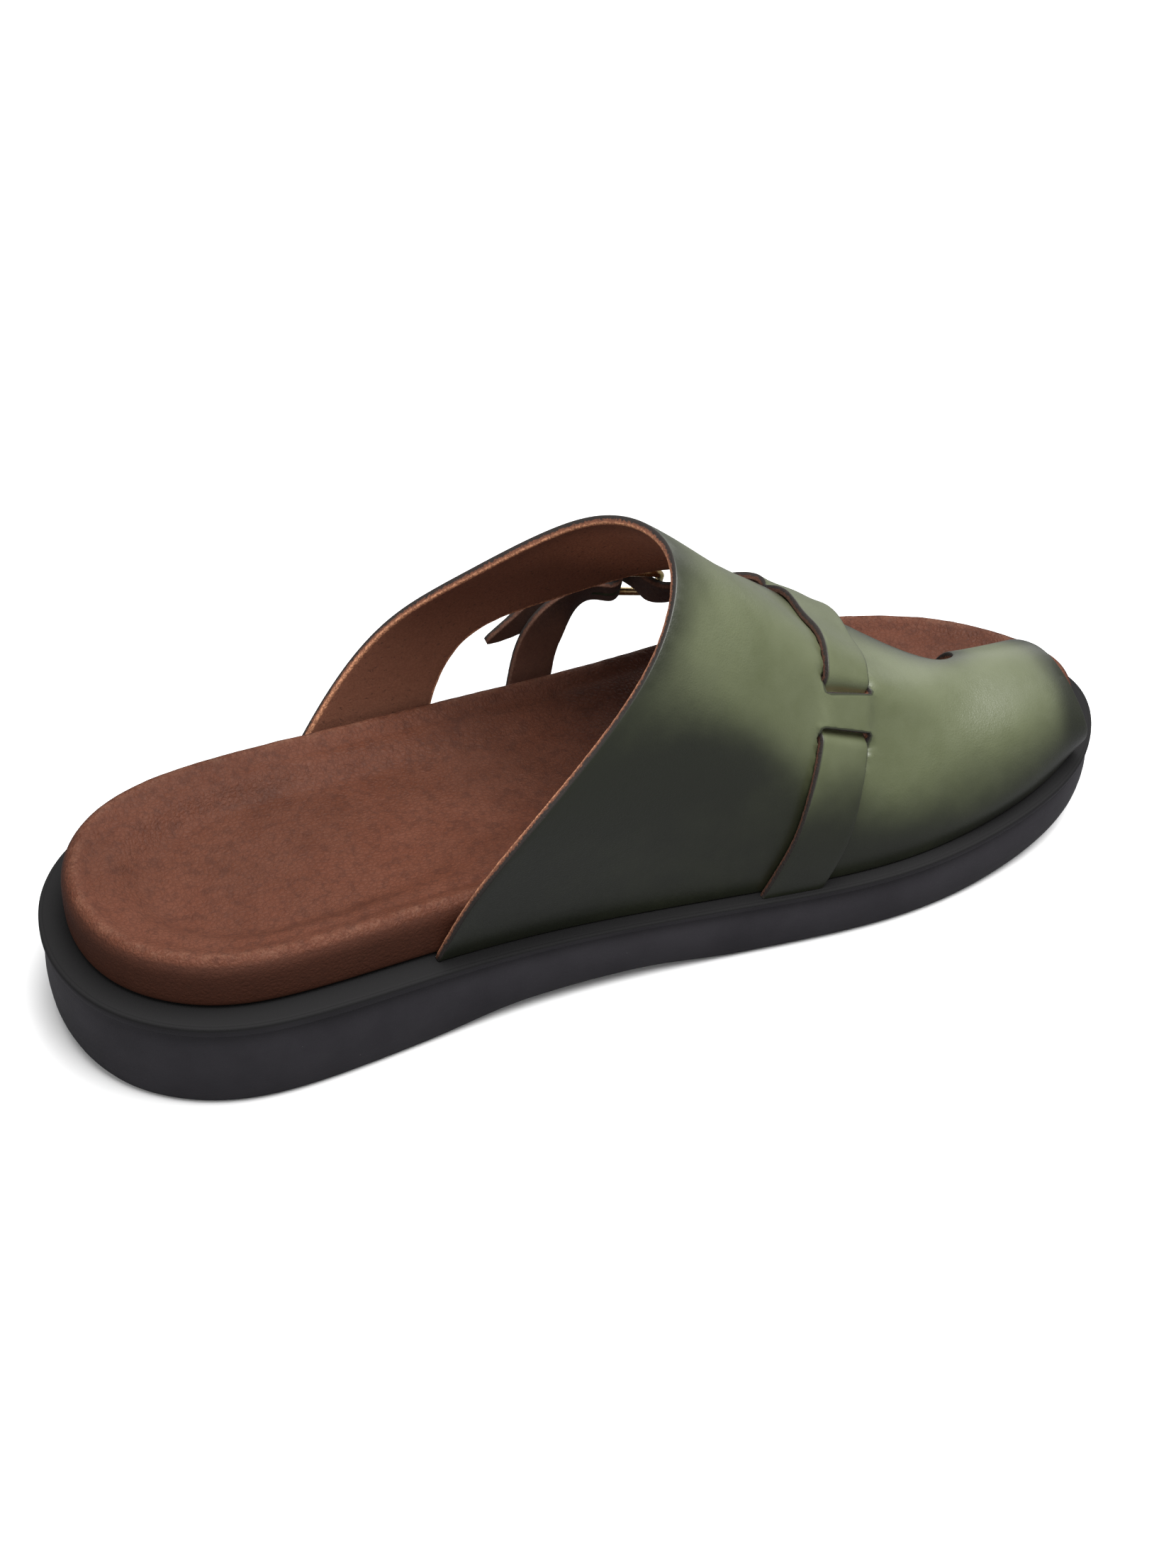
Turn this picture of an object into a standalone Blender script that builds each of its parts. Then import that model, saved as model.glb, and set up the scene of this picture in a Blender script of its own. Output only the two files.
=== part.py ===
"""A left mule: moulded sole, wrapped footbed, one-panel leather upper and a woven, buckled strap.

Lengths are in millimetres until a mesh is made, and in metres from there on.
+Y runs from heel to toe, +X to the inner (big toe) side and +Z up, with the floor at zero.
Stations count along the shoe from the back of the sole.
"Round" places a point on the last's section: 0 at the inner foot, 0.55 on the crest, 1 at the outer foot.
"""

import math

import bpy
import numpy as np
from mathutils import Vector
from mathutils.geometry import delaunay_2d_cdt

MILLIMETRE = 0.001
GAP = 0.3  # between neighbouring pieces

# Driving sizes.
SOLE_LENGTH = 281.0
LEDGE = 6.3  # the sole's flat border round the footbed
LEATHER = 2.2  # wall of the upper
STRAP_LEATHER = 1.9
STRAP_WIDTH = 15.0
WIRE = 2.2  # diameter of the buckle's frame
PRONG_WIRE = 1.4

# Plan of the sole at its widest level: share of the sole's length, and the half widths.
#        along  inner  outer
PLAN = [(0.015, 19.2, 19.2),
        (0.057, 33.5, 33.5),
        (0.135, 42.6, 42.6),
        (0.292, 41.7, 46.0),
        (0.434, 42.0, 47.5),
        (0.577, 47.0, 48.0),
        (0.719, 51.5, 48.0),
        (0.840, 48.0, 39.6),
        (0.918, 41.0, 27.5),
        (0.970, 30.0, 11.5)]
TOE_TIP_X = 10.6

# Heights along the shoe: the ledge, the footbed's rim over the ledge, and its dish under the rim.
#          station  ledge   rim  dish
HEIGHTS = [(0.0, 26.0, 13.0, 5.5),
           (14.0, 25.8, 13.0, 6.5),
           (45.0, 24.8, 13.0, 6.5),
           (90.0, 21.6, 13.5, 5.0),
           (150.0, 17.8, 14.4, 4.0),
           (190.0, 17.0, 14.6, 4.0),
           (216.0, 17.3, 13.6, 3.6),
           (250.0, 19.6, 12.0, 3.0),
           (281.0, 23.6, 10.0, 2.6)]
TOE_SPRING = 8.6
SPRING_STATION = 212.0
HEEL_BEVEL = 2.2
BEVEL_STATION = 14.0
WAIST_ARCH = 2.4  # how far the sole's inner edge clears the floor
WAIST_STATION = 118.0
WAIST_REACH = 30.0

# Wall of the sole: inset from the plan, and share of the height from floor to ledge.
#              inset  share
SOLE_WALL = [(6.0, 0.000),
             (3.0, 0.000),
             (1.7, 0.030),
             (0.9, 0.090),
             (0.3, 0.260),
             (0.15, 0.420),
             (0.75, 0.710),
             (1.35, 0.865),
             (0.3, 0.892),
             (0.0, 0.912),
             (0.0, 0.955),
             (0.4, 0.990),
             (1.2, 1.000),
             (5.8, 1.000)]

# Wall of the footbed: inset from its own outline, and share of the rim's height.
#                 inset  share
FOOTBED_WALL = [(6.0, 0.00),
                (1.2, 0.00),
                (0.3, 0.05),
                (0.0, 0.18),
                (0.0, 0.60),
                (0.4, 0.80),
                (1.5, 0.93),
                (3.2, 1.00),
                (5.2, 0.96),
                (7.6, 0.87)]
DISH_REACH = 15.0  # from the rim to the flat of the dish
FOOTBED_LIFT = GAP + 0.15  # over the ledge, which bends along the shoe

# Soft swellings of the footbed: place, height and reach across and along.
#            x     y    height  across  along
SWELLINGS = [(24.0, 120.0, 3.5, 13.0, 32.0),
             (0.0, 165.0, 1.5, 14.0, 16.0),
             (6.0, 236.0, 1.0, 24.0, 7.0)]

# Cross grooves of the tread, clear of the edge.
GROOVE_WIDTH = 3.0
GROOVE_DEPTH = 1.6
GROOVE_MARGIN = 11.0
GROOVES = (20.0, 31.0, 65.0, 76.0, 158.0, 169.0, 206.0, 217.0, 228.0, 239.0)

# Sections of the last, outside face of the upper. Half widths at four shares of the height, each side.
#         station  crest z  crest x  inner 20  45    80    outer 80  45    20
SECTIONS = [(70.0, 118.0, 5.0, 43.3, 47.2, 38.4, 22.5, 41.6, 43.5),
            (80.0, 117.0, 5.0, 42.9, 46.5, 37.2, 20.9, 41.3, 43.6),
            (110.0, 114.2, 4.6, 42.0, 44.3, 33.8, 17.6, 40.2, 43.8),
            (140.0, 110.2, 4.7, 42.2, 42.5, 32.8, 20.1, 39.8, 43.4),
            (165.0, 92.0, 8.8, 44.6, 42.6, 32.7, 26.0, 41.2, 43.3),
            (190.0, 71.3, 11.8, 47.2, 43.4, 33.6, 29.0, 42.3, 43.3),
            (215.0, 55.0, 14.8, 47.8, 44.6, 35.0, 30.0, 42.0, 42.0),
            (240.0, 49.2, 18.6, 44.8, 43.0, 35.8, 30.0, 40.0, 38.0),
            (265.0, 45.5, 19.5, 36.0, 37.5, 31.0, 25.0, 34.0, 30.0)]
ROUND = (0.0, 0.09, 0.20, 0.38, 0.55, 0.68, 0.83, 0.915, 1.0)
SHARES = (0.0, 0.208, 0.45, 0.80, 1.0, 0.80, 0.45, 0.23, 0.0)

# The toe loop: where it begins and is complete, and the x of its outer side from 80% down to its foot.
LOOP_STATIONS = (206.0, 236.0)
LOOP_OUTER = (9.4, 4.6, 3.4, 3.0)

# Edges of the panel, as round and station.
REAR_EDGE = [(0.0, 81.4), (0.111, 90.2), (0.222, 107.1), (0.333, 129.8), (0.444, 145.4),
             (0.556, 149.8), (0.667, 139.4), (0.778, 114.7), (0.889, 91.9), (1.0, 73.2)]
OPEN_SIDE = [(1.0, 112.5), (0.955, 114.0), (0.90, 119.5), (0.87, 126.0), (0.85, 136.0),
             (0.832, 147.0), (0.80, 160.0), (0.768, 170.0), (0.732, 178.5), (0.695, 184.5),
             (0.655, 191.0), (0.622, 199.0), (0.606, 206.0), (0.598, 212.0), (0.582, 218.0), (0.565, 223.5),
             (0.553, 228.5),
             (0.568, 233.0), (0.63, 235.0), (0.75, 236.0), (0.88, 236.0), (1.0, 236.0)]
FRONT_EDGE = [(1.0, 256.5), (0.86, 257.0), (0.70, 258.5), (0.55, 260.0), (0.40, 261.5),
              (0.25, 263.0), (0.12, 264.5), (0.0, 265.0)]

# Middle line of the strap over the panel, as round and station, and where round it threads the panel.
STRAP_PATH = [(0.0, 172.0), (0.10, 177.6), (0.19, 181.8), (0.303, 187.4), (0.42, 191.2),
              (0.50, 194.2), (0.575, 200.0), (0.62, 203.4), (0.66, 203.0)]
SLOTS = (0.305, 0.425)
SLOT_WIDTH = 6.2
LEAVES_PANEL = (0.60, 0.655)
# The strap past the panel, and the billet: middle line, and direction across towards the toe edge.
#                  x      y      z      across
STRAP_BEFORE = [(-30.8, 192.6, 53.6, -0.66, 0.42, -0.62)]
STRAP_AFTER = [(-46.9, 147.0, 43.6, -0.34, 0.08, -0.94),
               (-47.2, 133.8, 37.8, -0.28, 0.10, -0.95)]
BILLET_AFTER = [(-46.0, 151.0, 43.4, -0.22, 0.70, -0.68),
                (-45.4, 145.4, 34.0, -0.08, 0.94, -0.33)]
BILLET_FOOT = 140.4  # station

# The buckle: its middle on the level of the strap's inner face, its heading, and its flat length either way.
BUCKLE_MIDDLE = (-42.8, 170.7, 48.2)
BUCKLE_HEADING = (-0.41, -0.91, 0.0)
BUCKLE_SIDE = (-0.585, 0.26, -0.77)
BUCKLE_FLAT = 10.5
# Along the strap from the buckle's middle: the free side, and the bar that holds the billet.
FREE_SIDE = -8.0
BAR = 5.0
FRAME_HALF_WIDTH = STRAP_WIDTH / 2 + GAP + WIRE / 2 + 0.5
BILLET_WIDTHS = (14.0, 12.4)  # at the bar and at the foot

# Heights of the strips' middles over the last.
OVER = GAP + STRAP_LEATHER / 2 + 0.12
UNDER = -(LEATHER + GAP + STRAP_LEATHER / 2 + 0.12)
WRAP_RADIUS = STRAP_LEATHER / 2 + GAP + 0.2 + WIRE / 2
WIRE_HEIGHT = OVER + WRAP_RADIUS
PRONG_RADIUS = WIRE / 2 + GAP + 0.05 + PRONG_WIRE / 2
FOLD_END = 15.0
# Finish of each material: colour, roughness and metallic value.
#            red    green  blue   rough  metal
FINISHES = {"sole_rubber": (0.018, 0.017, 0.019, 0.55, 0.0),
            "footbed_leather": (0.090, 0.035, 0.020, 0.55, 0.0),
            "green_leather": (0.090, 0.104, 0.052, 0.42, 0.0),
            "strap_leather": (0.086, 0.099, 0.050, 0.42, 0.0),
            "buckle_brass": (0.740, 0.560, 0.290, 0.25, 1.0)}

# The strap where it threads the buckle: place along, and height over OVER.
#            along  height
THREADING = [(-12.0, 0.00),
             (-8.5, 0.00),
             (-6.0, 0.60),
             (-3.0, 2.90),
             (0.0, 5.30),
             (2.5, 6.95),
             (5.0, 7.85),
             (8.0, 7.85),
             (12.0, 6.80),
             (16.0, 5.60),
             (20.0, 4.20),
             (25.0, 3.00),
             (40.0, 2.80)]
TIP_LENGTH = 19.0

RING = 68  # points round the sole and round the footbed
PANEL_STEP = 5.4
EDGE_STEP = 3.4
ACROSS = 180.0  # rough length of the section, to lay the panel out flat


def natural_spline(knots, values):
    """A natural cubic through rows of values, as a function of one number or many."""
    knots = np.asarray(knots, float)
    values = np.asarray(values, float).reshape(len(knots), -1)
    steps = np.diff(knots)
    matrix = np.eye(len(knots))
    right = np.zeros_like(values)
    for i in range(1, len(knots) - 1):
        matrix[i, i - 1:i + 2] = steps[i - 1], 2 * (steps[i - 1] + steps[i]), steps[i]
        right[i] = 6 * ((values[i + 1] - values[i]) / steps[i] - (values[i] - values[i - 1]) / steps[i - 1])
    bend = np.linalg.solve(matrix, right)

    def at(where):
        x = np.clip(np.atleast_1d(np.asarray(where, float)), knots[0], knots[-1])
        i = np.clip(np.searchsorted(knots, x, side="right") - 1, 0, len(knots) - 2)
        width = steps[i][:, None]
        ahead = (knots[i + 1] - x)[:, None]
        behind = (x - knots[i])[:, None]
        curved = (bend[i] * ahead ** 3 + bend[i + 1] * behind ** 3) / (6 * width)
        curved += (values[i] / width - bend[i] * width / 6) * ahead
        return curved + (values[i + 1] / width - bend[i + 1] * width / 6) * behind

    return at


def centripetal(points, stretch=1.0):
    """Knots that keep a spline through unevenly spaced points free of loops."""
    points = np.asarray(points, float) * (stretch, 1.0)
    return np.concatenate([[0.0], np.cumsum(np.sqrt(np.linalg.norm(np.diff(points, axis=0), axis=1)))])


def smoothstep(value):
    value = np.clip(value, 0.0, 1.0)
    return value * value * value * (value * (6 * value - 15) + 10)


def unit(vectors):
    return vectors / np.linalg.norm(vectors, axis=-1, keepdims=True)


# ---------------------------------------------------------------- sole and footbed

def plan_curve(samples):
    """The sole's outline as two runs of points, heel to toe along the inner side and back along the outer."""
    inner = [(wide, along * SOLE_LENGTH) for along, wide, _ in PLAN]
    outer = [(-wide, along * SOLE_LENGTH) for along, _, wide in reversed(PLAN)]
    loop = [(0.0, 0.0)] + inner + [(TOE_TIP_X, SOLE_LENGTH)] + outer
    wrap = 4
    extended = loop[-wrap:] + loop + loop[:wrap + 1]
    knots = centripetal(extended)
    spline = natural_spline(knots, extended)
    toe = knots[wrap + 1 + len(inner)]
    half = []
    for start, end in ((knots[wrap], toe), (toe, knots[wrap + len(loop)])):
        fine = np.linspace(start, end, 1500)
        points = spline(fine)
        run = np.concatenate([[0.0], np.cumsum(np.linalg.norm(np.diff(points, axis=0), axis=1))])
        even = np.interp(np.linspace(0.0, run[-1], samples // 2 + 1), run, fine)
        half.append(even[:-1])
    where = np.concatenate(half)
    points = spline(where)
    tangent = unit(spline(where + 1e-4) - spline(where - 1e-4))
    inward = np.column_stack([-tangent[:, 1], tangent[:, 0]])
    return points, inward


def ring(inset, samples=RING):
    points, inward = plan_curve(samples)
    return points + inward * inset


def spine(samples, first=38.0, last=244.0):
    """For each point round the plan, its point on the middle line."""
    points, _ = plan_curve(samples)
    half = samples // 2
    count = np.concatenate([np.arange(half + 1), np.arange(half - 1, 0, -1)])
    station = first + (last - first) * count / half
    middle = (points + points[(-np.arange(samples)) % samples]) / 2
    return np.column_stack([np.interp(station, middle[:half + 1, 1], middle[:half + 1, 0]), station])


HEIGHT_CURVE = natural_spline([row[0] for row in HEIGHTS], [row[1:] for row in HEIGHTS])


def ledge_height(y):
    return HEIGHT_CURVE(y)[:, 0]


def floor_height(xy):
    x, y = xy.T
    spring = TOE_SPRING * np.clip((y - SPRING_STATION) / (SOLE_LENGTH - SPRING_STATION), 0, 1) ** 1.9
    bevel = HEEL_BEVEL * np.clip((BEVEL_STATION - y) / BEVEL_STATION, 0, 1) ** 2
    arch = WAIST_ARCH * np.exp(-((y - WAIST_STATION) / WAIST_REACH) ** 4) * smoothstep((x - 2) / 38)
    return spring + bevel + arch


def footbed_height(xy):
    """Top of the footbed away from its rim."""
    x, y = xy.T
    ledge, rim, dish = HEIGHT_CURVE(y).T
    height = ledge + FOOTBED_LIFT + rim - dish
    for at_x, at_y, swell, across, along in SWELLINGS:
        height = height + swell * np.exp(-((x - at_x) / across) ** 2 - ((y - at_y) / along) ** 2)
    return height


def lay(xy, height):
    return np.column_stack([xy, height])


def shell(rings):
    """Vertices and faces of a solid laid as rings, from the underside's middle to the top's."""
    count = len(rings[0])
    half = count // 2
    vertices = np.concatenate(rings)
    faces = []
    for level in range(len(rings) - 1):
        low = level * count
        high = low + count
        for i in range(count):
            j = (i + 1) % count
            faces.append((low + i, low + j, high + j, high + i))
    top = (len(rings) - 1) * count
    for i in range(half):
        near = (i, i + 1, (-i - 1) % count, (-i) % count)
        upper = [top + k for k in dict.fromkeys(near)]
        faces.append(tuple(upper))
        faces.append(tuple(reversed(list(dict.fromkeys(near)))))
    return vertices, faces


def inner_ring(outermost, middle, share):
    return outermost + (middle - outermost) * share


def outsole_rings():
    middle = spine(RING)
    under = ring(SOLE_WALL[0][0])
    over = ring(SOLE_WALL[-1][0])
    rings = []
    for share in (0.94, 0.6, 0.3):
        xy = inner_ring(under, middle, share)
        rings.append(lay(xy, floor_height(xy)))
    for inset, share in SOLE_WALL:
        xy = ring(inset)
        low = floor_height(xy)
        rings.append(lay(xy, low + share * (ledge_height(xy[:, 1]) - low)))
    for share in (0.5, 0.94):
        xy = inner_ring(over, middle, share)
        rings.append(lay(xy, ledge_height(xy[:, 1])))
    return rings


def footbed_rings():
    middle = spine(RING)
    under = ring(LEDGE + FOOTBED_WALL[0][0])
    over = ring(LEDGE + FOOTBED_WALL[-1][0])
    rings = []
    for share in (0.94, 0.5):
        xy = inner_ring(under, middle, share)
        rings.append(lay(xy, ledge_height(xy[:, 1]) + FOOTBED_LIFT))
    for inset, share in FOOTBED_WALL:
        xy = ring(LEDGE + inset)
        ledge, rim, _ = HEIGHT_CURVE(xy[:, 1]).T
        rings.append(lay(xy, ledge + FOOTBED_LIFT + share * rim))
    for share in (0.12, 0.24, 0.38, 0.54, 0.74, 0.94):
        xy = inner_ring(over, middle, share)
        ledge, rim, _ = HEIGHT_CURVE(xy[:, 1]).T
        sunk = smoothstep(np.linalg.norm(xy - over, axis=1) / DISH_REACH)
        edge = ledge + FOOTBED_LIFT + FOOTBED_WALL[-1][1] * rim
        rings.append(lay(xy, edge + (footbed_height(xy) - edge) * sunk))
    return rings


# ---------------------------------------------------------------- the last under the upper

SECTION_CURVE = natural_spline([row[0] for row in SECTIONS], [row[1:] for row in SECTIONS])
ROUND_BASIS = natural_spline(ROUND, np.eye(len(ROUND)))
FOOT_LINE, FOOT_INWARD = plan_curve(2000)
FOOT_LINE = FOOT_LINE + FOOT_INWARD * (LEDGE - GAP - LEATHER)
INNER_FOOT = FOOT_LINE[30:1001]
OUTER_FOOT = FOOT_LINE[1970:999:-1]


def last(around, station):
    """Outside face of the upper, row by row of (round, station)."""
    around = np.asarray(around, float)
    station = np.asarray(station, float)
    crest_z, crest_x, *sides = SECTION_CURVE(station).T
    foot_z = ledge_height(station) + GAP
    inner_foot = np.interp(station, INNER_FOOT[:, 1], INNER_FOOT[:, 0])
    outer_foot = np.interp(station, OUTER_FOOT[:, 1], OUTER_FOOT[:, 0])
    columns = [inner_foot, *sides[:3], crest_x, -sides[3], -sides[4], -sides[5], outer_foot]
    loop = smoothstep((station - LOOP_STATIONS[0]) / (LOOP_STATIONS[1] - LOOP_STATIONS[0]))
    for column, loop_x in zip(range(5, 9), LOOP_OUTER):
        columns[column] = columns[column] + (loop_x - columns[column]) * loop
    on_footbed = footbed_height(np.column_stack([np.full_like(station, LOOP_OUTER[-1]), station])) + 3 * GAP
    outer_z = foot_z + (on_footbed - foot_z) * loop
    heights = []
    for column, share in enumerate(SHARES):
        low = outer_z if column > 4 else foot_z
        heights.append(low + share * (crest_z - low))
    weights = ROUND_BASIS(around)
    x = (weights * np.column_stack(columns)).sum(axis=1)
    z = (weights * np.column_stack(heights)).sum(axis=1)
    return np.column_stack([x, station, z])


def last_slopes(around, station):
    """Changes of the last's surface per unit round and per millimetre of station."""
    around = np.asarray(around, float)
    station = np.asarray(station, float)
    step = 2e-3
    low = np.clip(around - step, 0, 1)
    high = np.clip(around + step, 0, 1)
    by_round = (last(high, station) - last(low, station)) / (high - low)[:, None]
    by_station = (last(around, station + 0.5) - last(around, station - 0.5))
    return by_round, by_station


def last_normal(around, station):
    by_round, by_station = last_slopes(around, station)
    return unit(np.cross(by_station, by_round))


# ---------------------------------------------------------------- strips

def path_curve(path):
    """A strip's middle line as dense rows of round and station, with its length run up to each."""
    knots = centripetal(path, ACROSS)
    rows = natural_spline(knots, path)(np.linspace(0.0, knots[-1], 900))
    points = last(rows[:, 0], rows[:, 1])
    run = np.concatenate([[0.0], np.cumsum(np.linalg.norm(np.diff(points, axis=0), axis=1))])
    return rows, run


def path_frame(path, run_at):
    """Round, station, point, along, across (towards the toe) and normal at each length along a path."""
    rows, run = path
    where, ahead, behind = (np.column_stack([np.interp(run_at + step, run, rows[:, 0]),
                                             np.interp(run_at + step, run, rows[:, 1])])
                            for step in (0.0, 1.5, -1.5))
    normal = last_normal(*where.T)
    along = last(*ahead.T) - last(*behind.T)
    along = unit(along - normal * (along * normal).sum(axis=1, keepdims=True))
    return where, last(*where.T), along, np.cross(along, normal), normal


def sideways(where, across):
    """Change of round and station for a step of a millimetre across a strip. It runs level at a foot."""
    by_round, by_station = last_slopes(*where.T)
    rr = (by_round * by_round).sum(axis=1)
    rs = (by_round * by_station).sum(axis=1)
    ss = (by_station * by_station).sum(axis=1)
    ra = (by_round * across).sum(axis=1)
    sa = (by_station * across).sum(axis=1)
    scale = rr * ss - rs * rs
    square = np.column_stack([(ss * ra - rs * sa) / scale, (rr * sa - rs * ra) / scale])
    level = np.column_stack([np.zeros_like(sa), 1 / sa])
    free = smoothstep(np.minimum(where[:, 0], 1 - where[:, 0]) / 0.10)[:, None]
    return level + (square - level) * free


def run_at_round(path, around):
    rows, run = path
    return float(np.interp(around, rows[:, 0], run))


def squared(along, across):
    """A strip's direction across, squared to its heading, and its outward normal."""
    normal = unit(np.cross(across, along))
    return np.cross(along, normal), normal


BUCKLE_POINT = np.array(BUCKLE_MIDDLE)
BUCKLE_ALONG = unit(np.array(BUCKLE_HEADING))
BUCKLE_ACROSS, BUCKLE_NORMAL = squared(BUCKLE_ALONG, np.array(BUCKLE_SIDE))


def in_buckle(along, across, height):
    """A point in the buckle's own plane axes."""
    along, across, height = (np.asarray(v, float)[..., None] for v in (along, across, height))
    return BUCKLE_POINT + along * BUCKLE_ALONG + across * BUCKLE_ACROSS + height * BUCKLE_NORMAL


def course(before, after, start_run):
    """A strip's run through the air: dense rows of place and side, their lengths, and the buckle's length."""
    steady = [(*in_buckle(along, 0.0, 0.0), *BUCKLE_ACROSS)
              for along in np.linspace(-BUCKLE_FLAT, BUCKLE_FLAT, 5)]
    rows = np.array([*before, *steady, *after], float)
    steps = np.sqrt(np.linalg.norm(np.diff(rows[:, :3], axis=0), axis=1))
    knots = np.concatenate([[0.0], np.cumsum(steps)])
    dense = natural_spline(knots, rows)(np.linspace(0.0, knots[-1], 1200))
    steps = np.linalg.norm(np.diff(dense[:, :3], axis=0), axis=1)
    run = start_run + np.concatenate([[0.0], np.cumsum(steps)])
    buckle = run[np.linalg.norm(dense[:, :3] - BUCKLE_POINT, axis=1).argmin()]
    return dense, run, buckle


def in_air(line, runs, offset, height):
    """Points beside a strip's run through the air."""
    dense, run, _ = line
    runs = np.clip(runs, run[0] + 0.5, run[-1])
    row = np.column_stack([np.interp(runs, run, column) for column in dense.T])
    ahead = np.column_stack([np.interp(runs + 1.0, run, column) for column in dense.T[:3]])
    behind = np.column_stack([np.interp(runs - 1.0, run, column) for column in dense.T[:3]])
    across, normal = squared(unit(ahead - behind), row[:, 3:])
    return row[:, :3] + across * offset[:, None] + normal * height[:, None]


def leaving_rows(path):
    """Rows over the crest, on the last, that lead a strip's run into the air."""
    runs = np.array([run_at_round(path, around) for around in np.linspace(0.52, LEAVES_PANEL[1], 5)])
    _, point, _, across, _ = path_frame(path, runs)
    return np.column_stack([point, across]), runs[0]


STRAP = path_curve(STRAP_PATH)
LEAVING, LEAVING_RUN = leaving_rows(STRAP)
STRAP_LINE = course([*LEAVING, *STRAP_BEFORE], STRAP_AFTER, LEAVING_RUN)
FOOT_PLACE = last([1.0], [BILLET_FOOT])[0] + (LEATHER - STRAP_LEATHER / 2 - 0.1, 0.0, 0.0)
BILLET_LINE = course([], [*BILLET_AFTER, (*FOOT_PLACE, 0.0, 1.0, 0.0)], 0.0)


def strap_points(runs, offset, height):
    """Points beside the strap's middle line: over the last, then through the air."""
    where, _, _, side, _ = path_frame(STRAP, np.minimum(runs, STRAP[1][-1] - 1.6))
    spot = where + sideways(where, side) * offset[:, None]
    spot[:, 0] = np.clip(spot[:, 0], 0, 1)
    resting = last(*spot.T) + last_normal(*spot.T) * height[:, None]
    first, second = (run_at_round(STRAP, around) for around in LEAVES_PANEL)
    free = smoothstep((runs - first) / (second - first))[:, None]
    return resting + (in_air(STRAP_LINE, runs, offset, height) - resting) * free


def billet_points(runs, offset, height):
    return in_air(BILLET_LINE, runs, offset, height)


def strip(place, runs, heights, half_widths, thickness, flat_end, columns=4):
    """Vertices and faces of a leather strip. Its end at row flat_end is cut level, to stand on the sole."""
    spread = np.linspace(-1, 1, columns)
    middle = np.stack([place(runs, half_widths * share, heights) for share in spread], axis=1)
    along = np.gradient(middle, axis=0)
    across = np.gradient(middle, axis=1)
    normal = unit(np.cross(across, along))
    normal[flat_end, :, 2] = 0
    normal = unit(normal)
    top = middle + normal * thickness / 2
    bottom = middle - normal * thickness / 2
    for face in (top, bottom):
        face[flat_end, :, 2] = ledge_height(face[flat_end, :, 1]) + GAP
    rows = len(runs)
    vertices = np.concatenate([top.reshape(-1, 3), bottom.reshape(-1, 3)])
    under = rows * columns
    faces = []
    for r in range(rows - 1):
        for c in range(columns - 1):
            a = r * columns + c
            b = a + columns
            faces.append((a, a + 1, b + 1, b))
            faces.append((under + a, under + b, under + b + 1, under + a + 1))
        for a in (r * columns, (r + 1) * columns - 1):
            b = a + columns
            quad = (a, b, under + b, under + a)
            faces.append(quad if a == r * columns else quad[::-1])
    for a, flip in ((0, False), ((rows - 1) * columns, True)):
        for c in range(columns - 1):
            quad = (a + c, under + a + c, under + a + c + 1, a + c + 1)
            faces.append(quad[::-1] if flip else quad)
    return vertices, faces


def strap_heights(runs):
    """Height of the strap's middle over the last: over the panel, under its bridge, through the buckle."""
    first, second = (run_at_round(STRAP, around) for around in SLOTS)
    pass_length = 5.0
    down = smoothstep((runs - first) / pass_length + 0.5)
    up = smoothstep((runs - second) / pass_length + 0.5)
    along, rise = zip(*THREADING)
    thread = natural_spline(along, rise)(runs - STRAP_LINE[2])[:, 0]
    return OVER + (UNDER - OVER) * (down - up) + thread


def strap_runs():
    """Lengths at which the strap has a row of points: close together where it bends sharply."""
    end = STRAP_LINE[1][-1]
    slots = [run_at_round(STRAP, around) for around in SLOTS]
    runs = [0.0]
    while runs[-1] < end - 0.8:
        here = runs[-1]
        step = 4.0
        if min(abs(here + 1.0 - slot) for slot in slots) < 4.4:
            step = 0.8
        elif abs(here - STRAP_LINE[2] - 1.0) < 13.0:
            step = 1.6
        runs.append(min(here + step, end))
    return np.array(runs)


def buckle_strap():
    runs = strap_runs()
    from_tip = (runs[-1] - runs) / TIP_LENGTH
    half = STRAP_WIDTH / 2 * (0.08 + 0.92 * np.clip(from_tip, 0, 1) ** 0.8)
    return strip(strap_points, runs, strap_heights(runs), half, STRAP_LEATHER, 0)


def billet_strap():
    """From the folded end over the bar, round it, and down to the ledge."""
    _, run, centre = BILLET_LINE
    fold_height = OVER + STRAP_LEATHER + GAP + 0.1
    folded = [(FOLD_END, fold_height), (FOLD_END - 2.5, fold_height), (FOLD_END - 5.0, fold_height + 0.5),
              (BAR + 3.0, WIRE_HEIGHT + WRAP_RADIUS - 0.4)]
    turns = np.radians(np.arange(75, 271, 15))
    wrapped = [(BAR + WRAP_RADIUS * math.cos(a), WIRE_HEIGHT + WRAP_RADIUS * math.sin(a)) for a in turns]
    foot = run[-1] - centre
    down = np.append(np.arange(BAR + 3.0, foot - 1.0, 3.5), foot)
    settle = smoothstep((foot - down) / 24.0)
    under = [(a, OVER * share) for a, share in zip(down, settle)]
    along, heights = np.array(folded + wrapped + under).T
    half = np.interp(along, (BAR, foot), BILLET_WIDTHS) / 2
    return strip(billet_points, along + centre, heights, half, STRAP_LEATHER, -1)


# ---------------------------------------------------------------- the panel

def edge_run(points, step=EDGE_STEP):
    """Evenly spaced rows of round and station along an edge of the panel."""
    knots = centripetal(points, ACROSS)
    fine = natural_spline(knots, points)(np.linspace(0, knots[-1], 1200))
    run = np.concatenate([[0.0], np.cumsum(np.linalg.norm(np.diff(fine * (ACROSS, 1), axis=0), axis=1))])
    even = np.linspace(0, run[-1], max(2, round(run[-1] / step) + 1))
    rows = np.column_stack([np.interp(even, run, fine[:, 0]), np.interp(even, run, fine[:, 1])])
    rows[:, 0] = np.clip(rows[:, 0], 0, 1)
    return rows[:-1]


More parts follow.
